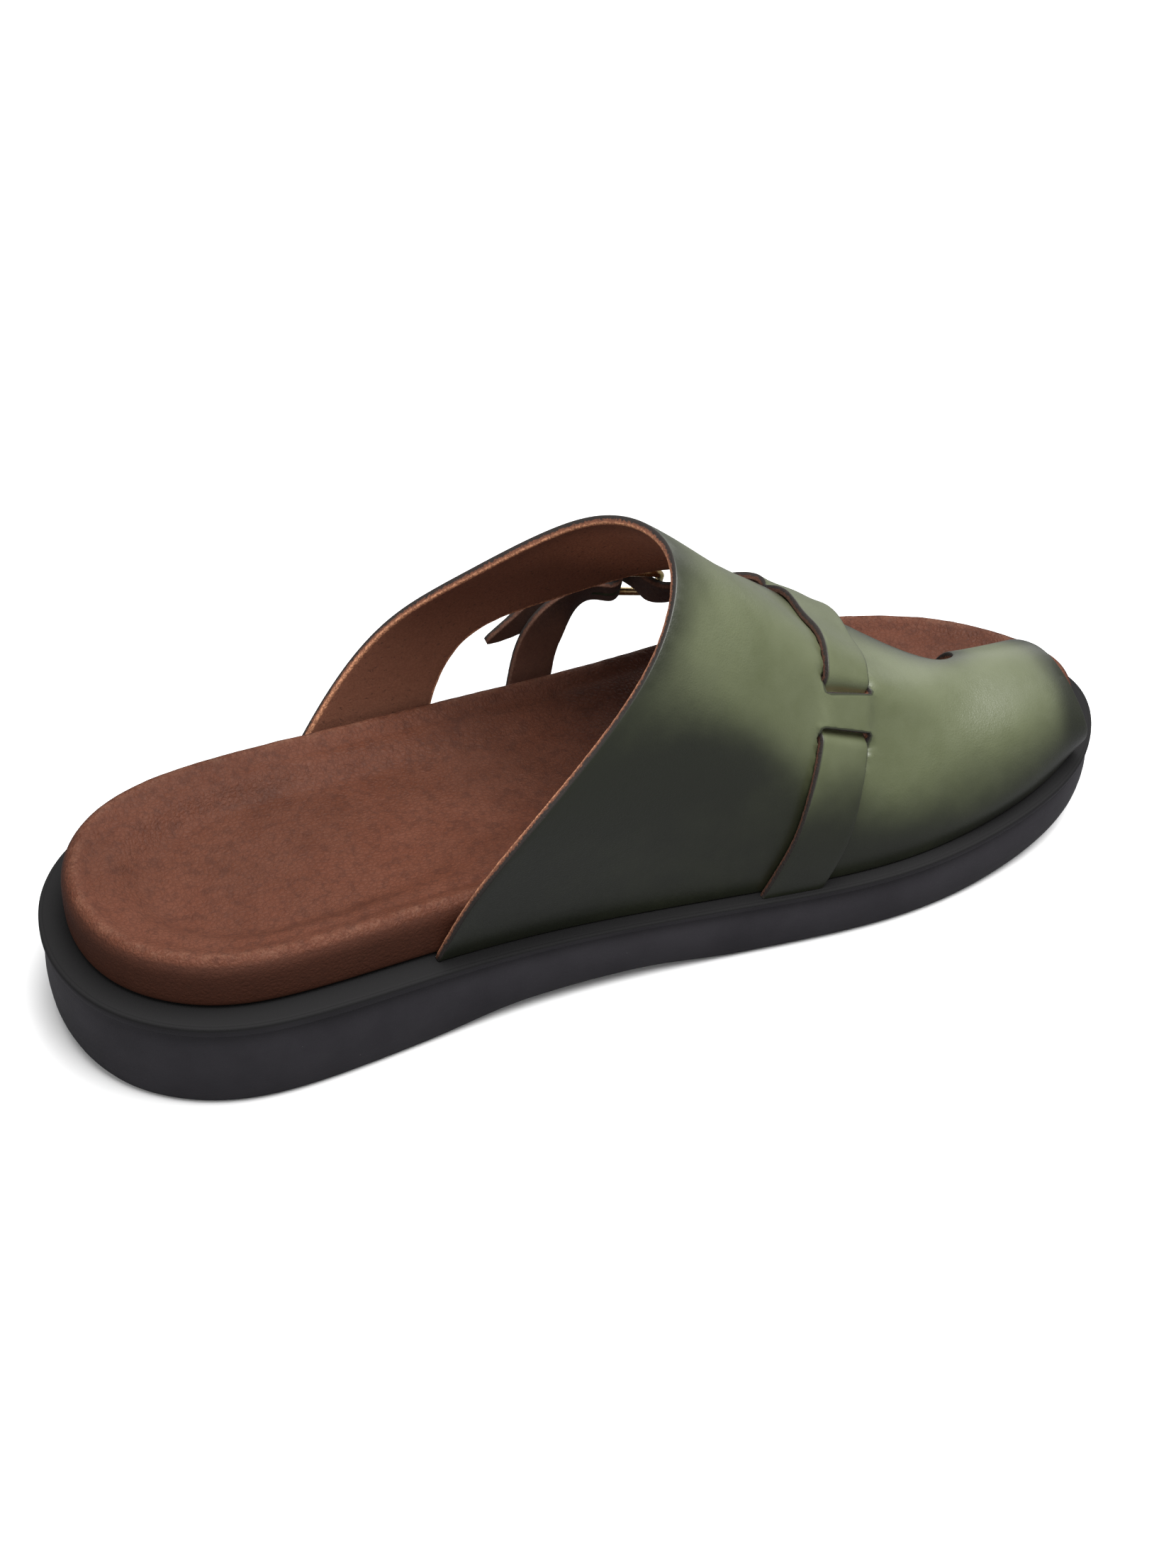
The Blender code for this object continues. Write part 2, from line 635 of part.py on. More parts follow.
def panel_outline():
    """The panel's outer edge as cut, once round."""
    edges = (REAR_EDGE,
             [REAR_EDGE[-1], OPEN_SIDE[0]],
             OPEN_SIDE,
             [OPEN_SIDE[-1], FRONT_EDGE[0]],
             FRONT_EDGE,
             [FRONT_EDGE[-1], REAR_EDGE[0]])
    return np.concatenate([edge_run(edge) for edge in edges])


def slot_outline(around):
    """A slot across the strap's path, with its corners rounded."""
    centre = run_at_round(STRAP, around)
    half_length = STRAP_WIDTH / 2 + 1.1
    half_width = SLOT_WIDTH / 2
    corner = 1.0
    spots = []
    for x, y, start in ((1, 1, 0), (-1, 1, 90), (-1, -1, 180), (1, -1, 270)):
        for turn in (0, 45, 90):
            angle = math.radians(start + turn)
            spots.append((x * (half_width - corner) + corner * math.cos(angle),
                          y * (half_length - corner) + corner * math.sin(angle)))
    spots = np.array(spots)
    where, _, _, side, _ = path_frame(STRAP, centre + spots[:, 0])
    return where + sideways(where, side) * spots[:, 1:]


def inside(loop, points):
    """Which points lie inside a closed loop."""
    x, y = points[:, 0][:, None], points[:, 1][:, None]
    x0, y0 = loop.T
    x1, y1 = np.roll(loop, -1, axis=0).T
    crosses = (y0 > y) != (y1 > y)
    with np.errstate(divide="ignore", invalid="ignore"):
        left = x < (x1 - x0) * (y - y0) / (y1 - y0) + x0
    return (crosses & left).sum(axis=1) % 2 == 1


def distance(loop, points):
    start = loop[None]
    side = np.roll(loop, -1, axis=0)[None] - start
    to = points[:, None] - start
    share = np.clip((to * side).sum(axis=2) / (side * side).sum(axis=2), 0, 1)[..., None]
    return np.linalg.norm(to - side * share, axis=2).min(axis=1)


def panel():
    """Vertices and faces of the upper: the cut panel laid over the last, with its thickness inside."""
    flat = np.array((ACROSS, 1.0))
    loops = [panel_outline() * flat] + [slot_outline(around) * flat for around in SLOTS]
    filling = []
    low, high = loops[0].min(axis=0), loops[0].max(axis=0)
    for row, y in enumerate(np.arange(low[1], high[1], PANEL_STEP * 0.87)):
        for x in np.arange(low[0] + PANEL_STEP / 2 * (row % 2), high[0], PANEL_STEP):
            filling.append((x, y))
    filling = np.array(filling)
    kept = inside(loops[0], filling)
    for loop in loops[1:]:
        kept &= ~inside(loop, filling)
    for loop in loops:
        kept &= distance(loop, filling) > PANEL_STEP * 0.5
    points = np.concatenate(loops + [filling[kept]])
    borders = []
    start = 0
    for loop in loops:
        count = len(loop)
        borders += [(start + i, start + (i + 1) % count) for i in range(count)]
        start += count
    spots = [Vector(point) for point in points]
    placed, _, cells, *_ = delaunay_2d_cdt(spots, borders, [], 0, 1e-6)
    placed = np.array([tuple(v) for v in placed])
    cells = np.array([tuple(cell) for cell in cells])
    centres = placed[cells].mean(axis=1)
    kept = inside(loops[0], centres)
    for loop in loops[1:]:
        kept &= ~inside(loop, centres)
    cells = cells[kept]
    where = placed / flat
    outer = last(*where.T)
    normal = last_normal(*where.T)
    at_foot = (where[:, 0] < 1e-6) | (where[:, 0] > 1 - 1e-6)
    normal[at_foot, 2] = 0
    inner = outer - unit(normal) * LEATHER
    count = len(outer)
    faces = [tuple(cell) for cell in cells] + [tuple(count + cell[::-1]) for cell in cells]
    sides = {}
    for cell in cells:
        for a, b in zip(cell, np.roll(cell, -1)):
            sides[(a, b)] = (b, a) not in sides
            if (b, a) in sides:
                sides[(b, a)] = False
    for (a, b), is_border in sides.items():
        if is_border:
            faces.append((b, a, count + a, count + b))
    return np.concatenate([outer, inner]), faces


# ---------------------------------------------------------------- the buckle

def rod(points, radius, closed, sides=8):
    """A round wire along points, all of them in a plane that holds the given way round."""
    points = np.asarray(points, float)
    if closed:
        along = unit(np.roll(points, -1, axis=0) - np.roll(points, 1, axis=0))
    else:
        along = unit(np.gradient(points, axis=0))
    flat_normal = unit(np.cross(along[0], along[len(along) // 3]) + 1e-12)
    across = unit(np.cross(along, flat_normal))
    vertices = []
    for point, side in zip(points, across):
        for k in range(sides):
            angle = 2 * math.pi * k / sides
            vertices.append(point + radius * (math.cos(angle) * side + math.sin(angle) * flat_normal))
    faces = []
    rows = len(points)
    for r in range(rows if closed else rows - 1):
        for k in range(sides):
            a, b = r * sides + k, r * sides + (k + 1) % sides
            c, d = ((r + 1) % rows) * sides + (k + 1) % sides, ((r + 1) % rows) * sides + k
            faces.append((a, b, c, d))
    if not closed:
        faces.append(tuple(range(sides))[::-1])
        faces.append(tuple((rows - 1) * sides + k for k in range(sides)))
    return np.array(vertices), faces


def frame_line():
    """Middle line of the buckle's frame: a rectangle with round corners."""
    corner = 3.0
    middle = (FREE_SIDE + BAR) / 2
    half_length = (BAR - FREE_SIDE) / 2
    spots = []
    for x, y, start in ((1, 1, 0), (-1, 1, 90), (-1, -1, 180), (1, -1, 270)):
        for turn in (0, 22.5, 45, 67.5, 90):
            angle = math.radians(start + turn)
            spots.append((middle + x * (half_length - corner) + corner * math.cos(angle),
                          y * (FRAME_HALF_WIDTH - corner) + corner * math.sin(angle)))
    along, across = np.array(spots).T
    return in_buckle(along, across, np.full_like(along, WIRE_HEIGHT))


def prong_line():
    """Middle line of the prong: an open eye round the bar, then straight to the free side of the frame."""
    turns = np.radians(np.arange(-150, 91, 20))
    along = list(BAR + PRONG_RADIUS * np.cos(turns)) + list(np.linspace(BAR - 3, FREE_SIDE - 1.2, 4))
    height = list(WIRE_HEIGHT + PRONG_RADIUS * np.sin(turns)) + [WIRE_HEIGHT + PRONG_RADIUS] * 4
    return in_buckle(along, np.zeros(len(along)), height)


# ---------------------------------------------------------------- objects

def volume(vertices, faces):
    """Volume inside a closed mesh: negative when its faces look inwards."""
    total = 0.0
    for face in faces:
        first = vertices[face[0]]
        for b, c in zip(face[1:-1], face[2:]):
            total += np.dot(first, np.cross(vertices[b], vertices[c]))
    return total / 6


def finish(name):
    """A material of one colour, made the first time it is asked for."""
    made = bpy.data.materials.get(name)
    if made is None:
        red, green, blue, rough, metal = FINISHES[name]
        made = bpy.data.materials.new(name)
        made.use_nodes = True
        shader = made.node_tree.nodes["Principled BSDF"]
        shader.inputs["Base Color"].default_value = (red, green, blue, 1.0)
        shader.inputs["Roughness"].default_value = rough
        shader.inputs["Metallic"].default_value = metal
        made.diffuse_color = (red, green, blue, 1.0)
    return made


def add(name, vertices, faces, material=None):
    """A mesh object from millimetres. Without a material it is a helper that only cuts."""
    vertices = np.asarray(vertices, float)
    if volume(vertices, faces) < 0:
        faces = [tuple(face)[::-1] for face in faces]
    mesh = bpy.data.meshes.new(name)
    mesh.from_pydata([tuple(v) for v in vertices * MILLIMETRE], [], [tuple(map(int, face)) for face in faces])
    obj = bpy.data.objects.new(name, mesh)
    bpy.context.scene.collection.objects.link(obj)
    if material:
        mesh.materials.append(finish(material))
    else:
        obj.hide_render = True
        obj.display_type = "WIRE"
    return obj


def cut(obj, cutter):
    """Takes a helper's shape out of an object, there and then."""
    modifier = obj.modifiers.new(cutter.name, "BOOLEAN")
    modifier.operation = "DIFFERENCE"
    modifier.solver = "EXACT"
    modifier.object = cutter


def block(name, corners):
    """A helper box from eight corners: four round one face, then the four opposite."""
    faces = [(0, 3, 2, 1), (4, 5, 6, 7), (0, 1, 5, 4), (1, 2, 6, 5), (2, 3, 7, 6), (3, 0, 4, 7)]
    return add(name, corners, faces)


def groove(station):
    """A helper that cuts one cross groove of the tread."""
    edge = ring(GROOVE_MARGIN)
    inner, outer = edge[:RING // 2 + 1], edge[:RING // 2 - 1:-1]
    right = np.interp(station, inner[:, 1], inner[:, 0])
    left = np.interp(station, outer[:, 1], outer[:, 0])
    low = float(floor_height(np.array([[0.0, station]]))[0]) - 3.0
    high = float(floor_height(np.array([[0.0, station]]))[0]) + GROOVE_DEPTH
    rear, front = station - GROOVE_WIDTH / 2, station + GROOVE_WIDTH / 2
    plan = [(left, rear), (right, rear), (right, front), (left, front)]
    return block(f"groove_{station:.0f}", [(x, y, low) for x, y in plan] + [(x, y, high) for x, y in plan])


def main():
    for old in list(bpy.data.objects):
        bpy.data.objects.remove(old, do_unlink=True)
    outsole = add("outsole", *shell(outsole_rings()), "sole_rubber")
    for station in GROOVES:
        cut(outsole, groove(station))
    add("footbed", *shell(footbed_rings()), "footbed_leather")
    add("upper", *panel(), "green_leather")
    strap = add("buckle_strap", *buckle_strap(), "strap_leather")
    cut(strap, add("prong_hole", *rod(prong_line(), PRONG_WIRE / 2 + GAP + 0.05, False)))
    billet = add("billet_strap", *billet_strap(), "strap_leather")
    half = PRONG_WIRE / 2 + 0.5
    near = [(BAR - 5, -half), (BAR - 5, half), (BAR + 4.4, half), (BAR + 4.4, -half)]
    low = [in_buckle(along, across, -2.0) for along, across in near]
    high = [in_buckle(along, across, WIRE_HEIGHT + 6.0) for along, across in near]
    cut(billet, block("prong_slot", high + low))
    add("buckle_frame", *rod(frame_line(), WIRE / 2, True), "buckle_brass")
    add("buckle_prong", *rod(prong_line(), PRONG_WIRE / 2, False), "buckle_brass")
    shown = [obj for obj in bpy.data.objects if not obj.hide_render]
    places = np.concatenate([[vertex.co for vertex in obj.data.vertices] for obj in shown])
    middle = (places.min(axis=0) + places.max(axis=0)) / 2
    for obj in bpy.data.objects:
        obj.location = (-middle[0], -middle[1], -places[:, 2].min())


main()
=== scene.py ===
# %% [markdown]
# # A buckled mule, built to be looked at
#
# This lesson dresses a left mule: a black moulded sole, a leather footbed, one folded panel of green
# leather over the foot, and a strap that is threaded through the panel and buckled on the outer side. A
# plain, solid model of the same shoe is loaded first. It fixes every size, and the finer pieces made here
# stand exactly where the plain ones do.
#
# The lesson goes from the bottom up: sole, footbed, panel, strap, buckle, then finishes, light and
# camera.

import math

import bpy
import numpy as np
from mathutils import Matrix, Vector
from mathutils.geometry import delaunay_2d_cdt


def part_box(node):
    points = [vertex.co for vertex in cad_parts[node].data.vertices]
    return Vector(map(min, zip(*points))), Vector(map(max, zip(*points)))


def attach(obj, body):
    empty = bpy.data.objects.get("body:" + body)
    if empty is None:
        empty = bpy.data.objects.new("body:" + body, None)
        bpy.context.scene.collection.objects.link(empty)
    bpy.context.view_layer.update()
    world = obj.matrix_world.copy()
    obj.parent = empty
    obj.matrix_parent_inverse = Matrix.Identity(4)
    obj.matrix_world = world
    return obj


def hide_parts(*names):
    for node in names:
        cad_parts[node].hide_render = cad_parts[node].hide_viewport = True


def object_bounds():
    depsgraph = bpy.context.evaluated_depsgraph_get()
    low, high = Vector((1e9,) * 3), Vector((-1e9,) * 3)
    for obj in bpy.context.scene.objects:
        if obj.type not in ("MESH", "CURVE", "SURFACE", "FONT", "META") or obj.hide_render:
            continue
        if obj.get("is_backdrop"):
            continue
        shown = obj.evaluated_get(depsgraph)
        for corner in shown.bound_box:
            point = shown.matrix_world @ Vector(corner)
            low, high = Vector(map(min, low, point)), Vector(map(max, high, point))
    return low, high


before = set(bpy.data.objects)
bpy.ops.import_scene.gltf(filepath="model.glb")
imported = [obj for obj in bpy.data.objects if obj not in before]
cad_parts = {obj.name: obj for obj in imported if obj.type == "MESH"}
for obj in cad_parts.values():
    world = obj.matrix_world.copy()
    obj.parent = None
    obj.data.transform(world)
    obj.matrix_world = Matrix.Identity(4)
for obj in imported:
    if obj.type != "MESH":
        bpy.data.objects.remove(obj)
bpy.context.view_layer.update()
print("pieces in the model:", sorted(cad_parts))

# %% [markdown]
# ## Curves from short tables
#
# A shoemaker works from a few measured sections and lets the last's surface run smoothly between them.
# The same is done here: each form is a short table of named columns, and a natural cubic spline fills in
# the rest. Writing the spline out takes twenty lines, and it gives the same surface at any fineness.

# %% A smooth curve through a table
MILLIMETRE = 0.001


def natural_spline(knots, values):
    """A natural cubic through rows of values, as a function of one number or many."""
    knots = np.asarray(knots, float)
    values = np.asarray(values, float).reshape(len(knots), -1)
    steps = np.diff(knots)
    matrix = np.eye(len(knots))
    right = np.zeros_like(values)
    for i in range(1, len(knots) - 1):
        matrix[i, i - 1:i + 2] = steps[i - 1], 2 * (steps[i - 1] + steps[i]), steps[i]
        right[i] = 6 * ((values[i + 1] - values[i]) / steps[i] - (values[i] - values[i - 1]) / steps[i - 1])
    bend = np.linalg.solve(matrix, right)

    def at(where):
        x = np.clip(np.atleast_1d(np.asarray(where, float)), knots[0], knots[-1])
        i = np.clip(np.searchsorted(knots, x, side="right") - 1, 0, len(knots) - 2)
        width = steps[i][:, None]
        ahead = (knots[i + 1] - x)[:, None]
        behind = (x - knots[i])[:, None]
        curved = (bend[i] * ahead ** 3 + bend[i + 1] * behind ** 3) / (6 * width)
        curved += (values[i] / width - bend[i] * width / 6) * ahead
        return curved + (values[i + 1] / width - bend[i + 1] * width / 6) * behind

    return at


def centripetal(points, stretch=1.0):
    """Knots that keep a spline through unevenly spaced points free of loops."""
    points = np.asarray(points, float) * (stretch, 1.0)
    return np.concatenate([[0.0], np.cumsum(np.sqrt(np.linalg.norm(np.diff(points, axis=0), axis=1)))])


def smoothstep(value):
    value = np.clip(value, 0.0, 1.0)
    return value * value * value * (value * (6 * value - 15) + 10)


def unit(vectors):
    return vectors / np.linalg.norm(vectors, axis=-1, keepdims=True)


def run_of(points):
    """Length run up to each point of a line."""
    return np.concatenate([[0.0], np.cumsum(np.linalg.norm(np.diff(points, axis=0), axis=1))])


quarter = float(natural_spline([0, 1, 2], [0, 1, 0])(0.5)[0, 0])
print("a curve through 0, 1, 0 is", quarter, "a quarter of the way")

# %% [markdown]
# ## The plan of the sole
#
# Everything stands on the sole's outline, so it comes first. Lengths are in millimetres here, with the
# back of the heel at zero and the toe towards +Y. The outline is one closed spline through a table of
# half widths. Insetting it gives every other ring: the side wall, the ledge and the footbed.

# %% Plan of the sole
SOLE_LENGTH = 281.0
LEDGE = 6.3  # the sole's flat border round the footbed
GAP = 0.3  # between neighbouring pieces
LEATHER = 2.2
STRAP_LEATHER = 1.9
STRAP_WIDTH = 15.0

#        along  inner  outer
PLAN = [(0.015, 19.2, 19.2),
        (0.057, 33.5, 33.5),
        (0.135, 42.6, 42.6),
        (0.292, 41.7, 46.0),
        (0.434, 42.0, 47.5),
        (0.577, 47.0, 48.0),
        (0.719, 51.5, 48.0),
        (0.840, 48.0, 39.6),
        (0.918, 41.0, 27.5),
        (0.970, 30.0, 11.5)]
TOE_TIP_X = 10.6
CAD_RING = 68  # points round the plain sole
RING = 420  # points round the finer one


def plan_curve(samples):
    """The sole's outline, heel to toe along the inner side and back along the outer, with the way inwards."""
    inner = [(wide, along * SOLE_LENGTH) for along, wide, _ in PLAN]
    outer = [(-wide, along * SOLE_LENGTH) for along, _, wide in reversed(PLAN)]
    loop = [(0.0, 0.0)] + inner + [(TOE_TIP_X, SOLE_LENGTH)] + outer
    wrap = 4
    extended = loop[-wrap:] + loop + loop[:wrap + 1]
    knots = centripetal(extended)
    spline = natural_spline(knots, extended)
    toe = knots[wrap + 1 + len(inner)]
    half = []
    for start, end in ((knots[wrap], toe), (toe, knots[wrap + len(loop)])):
        fine = np.linspace(start, end, 1500)
        run = run_of(spline(fine))
        half.append(np.interp(np.linspace(0.0, run[-1], samples // 2 + 1), run, fine)[:-1])
    where = np.concatenate(half)
    tangent = unit(spline(where + 1e-4) - spline(where - 1e-4))
    return spline(where), np.column_stack([-tangent[:, 1], tangent[:, 0]])


def ring(inset, samples=RING):
    points, inward = plan_curve(samples)
    return points + inward * inset


def spine(samples=RING, first=38.0, last=244.0):
    """For each point round the plan, its point on the middle line."""
    points, _ = plan_curve(samples)
    half = samples // 2
    count = np.concatenate([np.arange(half + 1), np.arange(half - 1, 0, -1)])
    station = first + (last - first) * count / half
    middle = (points + points[(-np.arange(samples)) % samples]) / 2
    return np.column_stack([np.interp(station, middle[:half + 1, 1], middle[:half + 1, 0]), station])


sole_edge = ring(0.0)
around_sole = run_of(np.vstack([sole_edge, sole_edge[:1]]))
print(f"the sole is {around_sole[-1]:.0f} mm round")

# %% From the shoe's millimetres to the model's metres
low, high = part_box("outsole")
SHIFT = Vector((high.x - ring(0.0, CAD_RING)[:, 0].max() * MILLIMETRE, low.y, low.z))


def build(name, vertices, faces, **marks):
    """A smooth mesh object from millimetres, with a number kept at each point for every mark."""
    mesh = bpy.data.meshes.new(name)
    places = np.asarray(vertices, float) * MILLIMETRE + np.array(SHIFT)
    mesh.from_pydata([tuple(place) for place in places], [], [tuple(map(int, face)) for face in faces])
    mesh.shade_smooth()
    for mark, values in marks.items():
        attribute = mesh.attributes.new(mark, "FLOAT", "POINT")
        attribute.data.foreach_set("value", np.asarray(values, np.float32).ravel())
    piece = bpy.data.objects.new(name, mesh)
    bpy.context.scene.collection.objects.link(piece)
    return piece


def stand_for(piece, node):
    """The finer piece takes the plain one's place."""
    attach(piece, "root")
    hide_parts(node)
    return piece


print("the shoe's zero lies at", [round(value, 5) for value in SHIFT])

# %% [markdown]
# ## Heights of sole and footbed
#
# The ledge falls from the heel to the ball and rises again at the toe, the floor side springs up under
# the toes, and the footbed has a raised rim round a shallow dish. Three functions of place are enough,
# and the upper reads the same ones, so the pieces meet wherever they touch.

# %% Heights along the shoe
#          station  ledge   rim  dish
HEIGHTS = [(0.0, 26.0, 13.0, 5.5),
           (14.0, 25.8, 13.0, 6.5),
           (45.0, 24.8, 13.0, 6.5),
           (90.0, 21.6, 13.5, 5.0),
           (150.0, 17.8, 14.4, 4.0),
           (190.0, 17.0, 14.6, 4.0),
           (216.0, 17.3, 13.6, 3.6),
           (250.0, 19.6, 12.0, 3.0),
           (281.0, 23.6, 10.0, 2.6)]
HEIGHT_CURVE = natural_spline([row[0] for row in HEIGHTS], [row[1:] for row in HEIGHTS])
TOE_SPRING = 8.6
SPRING_STATION = 212.0
HEEL_BEVEL = 2.2
BEVEL_STATION = 14.0
WAIST_ARCH = 2.4  # how far the sole's inner edge clears the floor
WAIST_STATION = 118.0
WAIST_REACH = 30.0
FOOTBED_LIFT = GAP + 0.15

#            x     y    height  across  along
SWELLINGS = [(24.0, 120.0, 3.5, 13.0, 32.0),
             (0.0, 165.0, 1.5, 14.0, 16.0),
             (6.0, 236.0, 1.0, 24.0, 7.0)]


def ledge_height(y):
    return HEIGHT_CURVE(y)[:, 0]


def floor_height(xy):
    x, y = xy.T
    spring = TOE_SPRING * np.clip((y - SPRING_STATION) / (SOLE_LENGTH - SPRING_STATION), 0, 1) ** 1.9
    bevel = HEEL_BEVEL * np.clip((BEVEL_STATION - y) / BEVEL_STATION, 0, 1) ** 2
    arch = WAIST_ARCH * np.exp(-((y - WAIST_STATION) / WAIST_REACH) ** 4) * smoothstep((x - 2) / 38)
    return spring + bevel + arch


def footbed_height(xy):
    """Top of the footbed away from its rim."""
    x, y = xy.T
    ledge, rim, dish = HEIGHT_CURVE(y).T
    height = ledge + FOOTBED_LIFT + rim - dish
    for at_x, at_y, swell, across, along in SWELLINGS:
        height = height + swell * np.exp(-((x - at_x) / across) ** 2 - ((y - at_y) / along) ** 2)
    return height


at_heel, at_ball = (float(ledge_height(station)[0]) for station in (0, 190))
print(f"ledge {at_heel} mm over the floor at the heel, {at_ball} at the ball")

# %% [markdown]
# ## A solid from rings
#
# Sole and footbed are both stacks of rings, from the middle of the underside, round the wall, to the
# middle of the top. The last ring at each end lies close to the shoe's middle line and is closed with a
# row of quads across it. Rings keep the wall's rounding exact, which a bevel on a rougher mesh would only
# approach.

# %% Rings to a mesh
def lay(xy, height):
    return np.column_stack([xy, height])


def shell(rings):
    """Vertices and faces of a solid laid as rings, from the middle below to the middle on top."""
    count = len(rings[0])
    half = count // 2
    faces = []
    for level in range(len(rings) - 1):
        low = level * count
        high = low + count
        faces += [(low + i, low + (i + 1) % count, high + (i + 1) % count, high + i) for i in range(count)]
    top = (len(rings) - 1) * count
    for i in range(half):
        near = list(dict.fromkeys((i, i + 1, (-i - 1) % count, (-i) % count)))
        faces.append(tuple(top + k for k in near))
        faces.append(tuple(reversed(near)))
    return np.concatenate(rings), faces


def toward(outermost, middle, share):
    return outermost + (middle - outermost) * share


print("rings for a finer shoe have", RING, "points each")

# %% [markdown]
# ## The moulded sole
#
# The real sole is one block of black moulded rubber: a satin side wall that swells towards the floor, a
# crisp lip above it with a slight undercut, and a matte ledge on which the footbed sits. Each row of the
# table is a ring, so the lip's corner, the undercut and the fine line along the ledge are real shape that
# catches the light.

# %% Side wall of the sole
#              inset  share of the height from floor to ledge
SOLE_WALL = [(6.0, 0.000),
             (3.0, 0.000),
             (2.3, 0.006),
             (1.7, 0.022),
             (1.25, 0.050),
             (0.90, 0.090),
             (0.62, 0.140),
             (0.38, 0.220),
             (0.20, 0.320),
             (0.14, 0.420),
             (0.24, 0.520),
             (0.46, 0.620),
             (0.76, 0.710),
             (1.06, 0.785),
             (1.28, 0.840),
             (1.36, 0.872),
             (1.20, 0.884),
             (0.60, 0.890),
             (0.16, 0.896),
             (0.00, 0.908),
             (0.00, 0.955),
             (0.05, 0.976),
             (0.20, 0.990),
             (0.48, 0.998),
             (0.80, 0.999),
             (1.00, 0.994),
             (1.20, 0.999),
             (1.60, 1.000),
             (3.00, 1.000),
             (5.80, 1.000)]


def outsole_rings():
    middle = spine()
    under = ring(SOLE_WALL[0][0])
    over = ring(SOLE_WALL[-1][0])
    rings = []
    matte = []
    for share in (0.985, 0.8, 0.6, 0.4, 0.2):
        xy = toward(under, middle, share)
        rings.append(lay(xy, floor_height(xy)))
        matte.append(0.0)
    for inset, share in SOLE_WALL:
        xy = ring(inset)
        low = floor_height(xy)
        rings.append(lay(xy, low + share * (ledge_height(xy[:, 1]) - low)))
        matte.append(float(smoothstep((share - 0.93) / 0.05)))
    for share in (0.3, 0.6, 0.985):
        xy = toward(over, middle, share)
        rings.append(lay(xy, ledge_height(xy[:, 1])))
        matte.append(1.0)
    return rings, np.repeat(matte, RING)


rings, matte = outsole_rings()
sole = build("moulded_sole", *shell(rings), matte=matte)
print("the sole has", len(sole.data.vertices), "points before its tread is cut")

# %% [markdown]
# ## The tread
#
# Shallow cross grooves keep the sole from slipping. They stay clear of the edge, so nothing shows from
# above. A Boolean cut with one joined set of bars is the plainest way to make them: it leaves the sole's
# own wall untouched.

# %% Cross grooves under the sole
GROOVE_WIDTH = 3.0
GROOVE_DEPTH = 1.6
GROOVE_MARGIN = 11.0
GROOVES = (20.0, 31.0, 65.0, 76.0, 158.0, 169.0, 206.0, 217.0, 228.0, 239.0)


def groove_bars():
    """Vertices and faces of all the bars that cut the grooves."""
    edge = ring(GROOVE_MARGIN, CAD_RING)
    inner, outer = edge[:CAD_RING // 2 + 1], edge[:CAD_RING // 2 - 1:-1]
    vertices = []
    faces = []
    for station in GROOVES:
        right = np.interp(station, inner[:, 1], inner[:, 0])
        left = np.interp(station, outer[:, 1], outer[:, 0])
        low = float(floor_height(np.array([[0.0, station]]))[0])
        rear, front = station - GROOVE_WIDTH / 2, station + GROOVE_WIDTH / 2
        plan = [(left, rear), (right, rear), (right, front), (left, front)]
        first = len(vertices)
        vertices += [(x, y, z) for z in (low - 3.0, low + GROOVE_DEPTH) for x, y in plan]
        for face in ((0, 3, 2, 1), (4, 5, 6, 7), (0, 1, 5, 4), (1, 2, 6, 5), (2, 3, 7, 6), (3, 0, 4, 7)):
            faces.append([first + corner for corner in face])
    return vertices, faces


CUT_EDGE_ANGLE = math.radians(60)  # steeper edges look sharp


def cut_and_keep(piece, cutter):
    """Cuts a piece for good and removes the cutter."""
    modifier = piece.modifiers.new("cut", "BOOLEAN")
    modifier.operation = "DIFFERENCE"
    modifier.solver = "EXACT"
    modifier.object = cutter
    bpy.context.view_layer.update()
    seen = piece.evaluated_get(bpy.context.evaluated_depsgraph_get())
    mesh = bpy.data.meshes.new_from_object(seen)
    mesh.set_sharp_from_angle(angle=CUT_EDGE_ANGLE)
    piece.modifiers.clear()
    piece.data = mesh
    bpy.data.objects.remove(cutter)


cut_and_keep(sole, build("tread_bars", *groove_bars()))
stand_for(sole, "outsole")
print("after the cut it has", len(sole.data.vertices), "points")

# %% [markdown]
# ## The footbed
#
# Leather is wrapped over a firm core here. It bulges a little at the wall, turns over a soft rim and
# sinks into a dish. Where it turns, the wrapping puckers, so the rim's crest gets a low ridge that
# wanders in height. The wall's table is passed through the same spline, which rounds it as stretched
# leather would.

# %% Wall and dish of the footbed
#                 inset  share of the rim's height
FOOTBED_WALL = [(6.0, 0.00),
                (1.2, 0.00),
                (0.3, 0.05),
                (0.0, 0.18),
                (0.0, 0.60),
                (0.4, 0.80),
                (1.5, 0.93),
                (3.2, 1.00),
                (5.2, 0.96),
                (7.6, 0.87)]
DISH_REACH = 15.0
RIM_INSET = 3.0
WALL_ROWS = 34
DISH_SHARES = np.linspace(0.0, 0.985, 30)[1:]


def wander(along, scale, seed):
    """A smooth wandering number, about -1 to 1, that closes on itself round the shoe."""
    chance = np.random.default_rng(seed)
    turn = 2 * math.pi * along / along[-1]
    waves = chance.integers(max(2, int(scale / 3)), int(scale), 9)
    return sum(np.sin(wave * turn + chance.uniform(0, 6.28)) for wave in waves) / 4


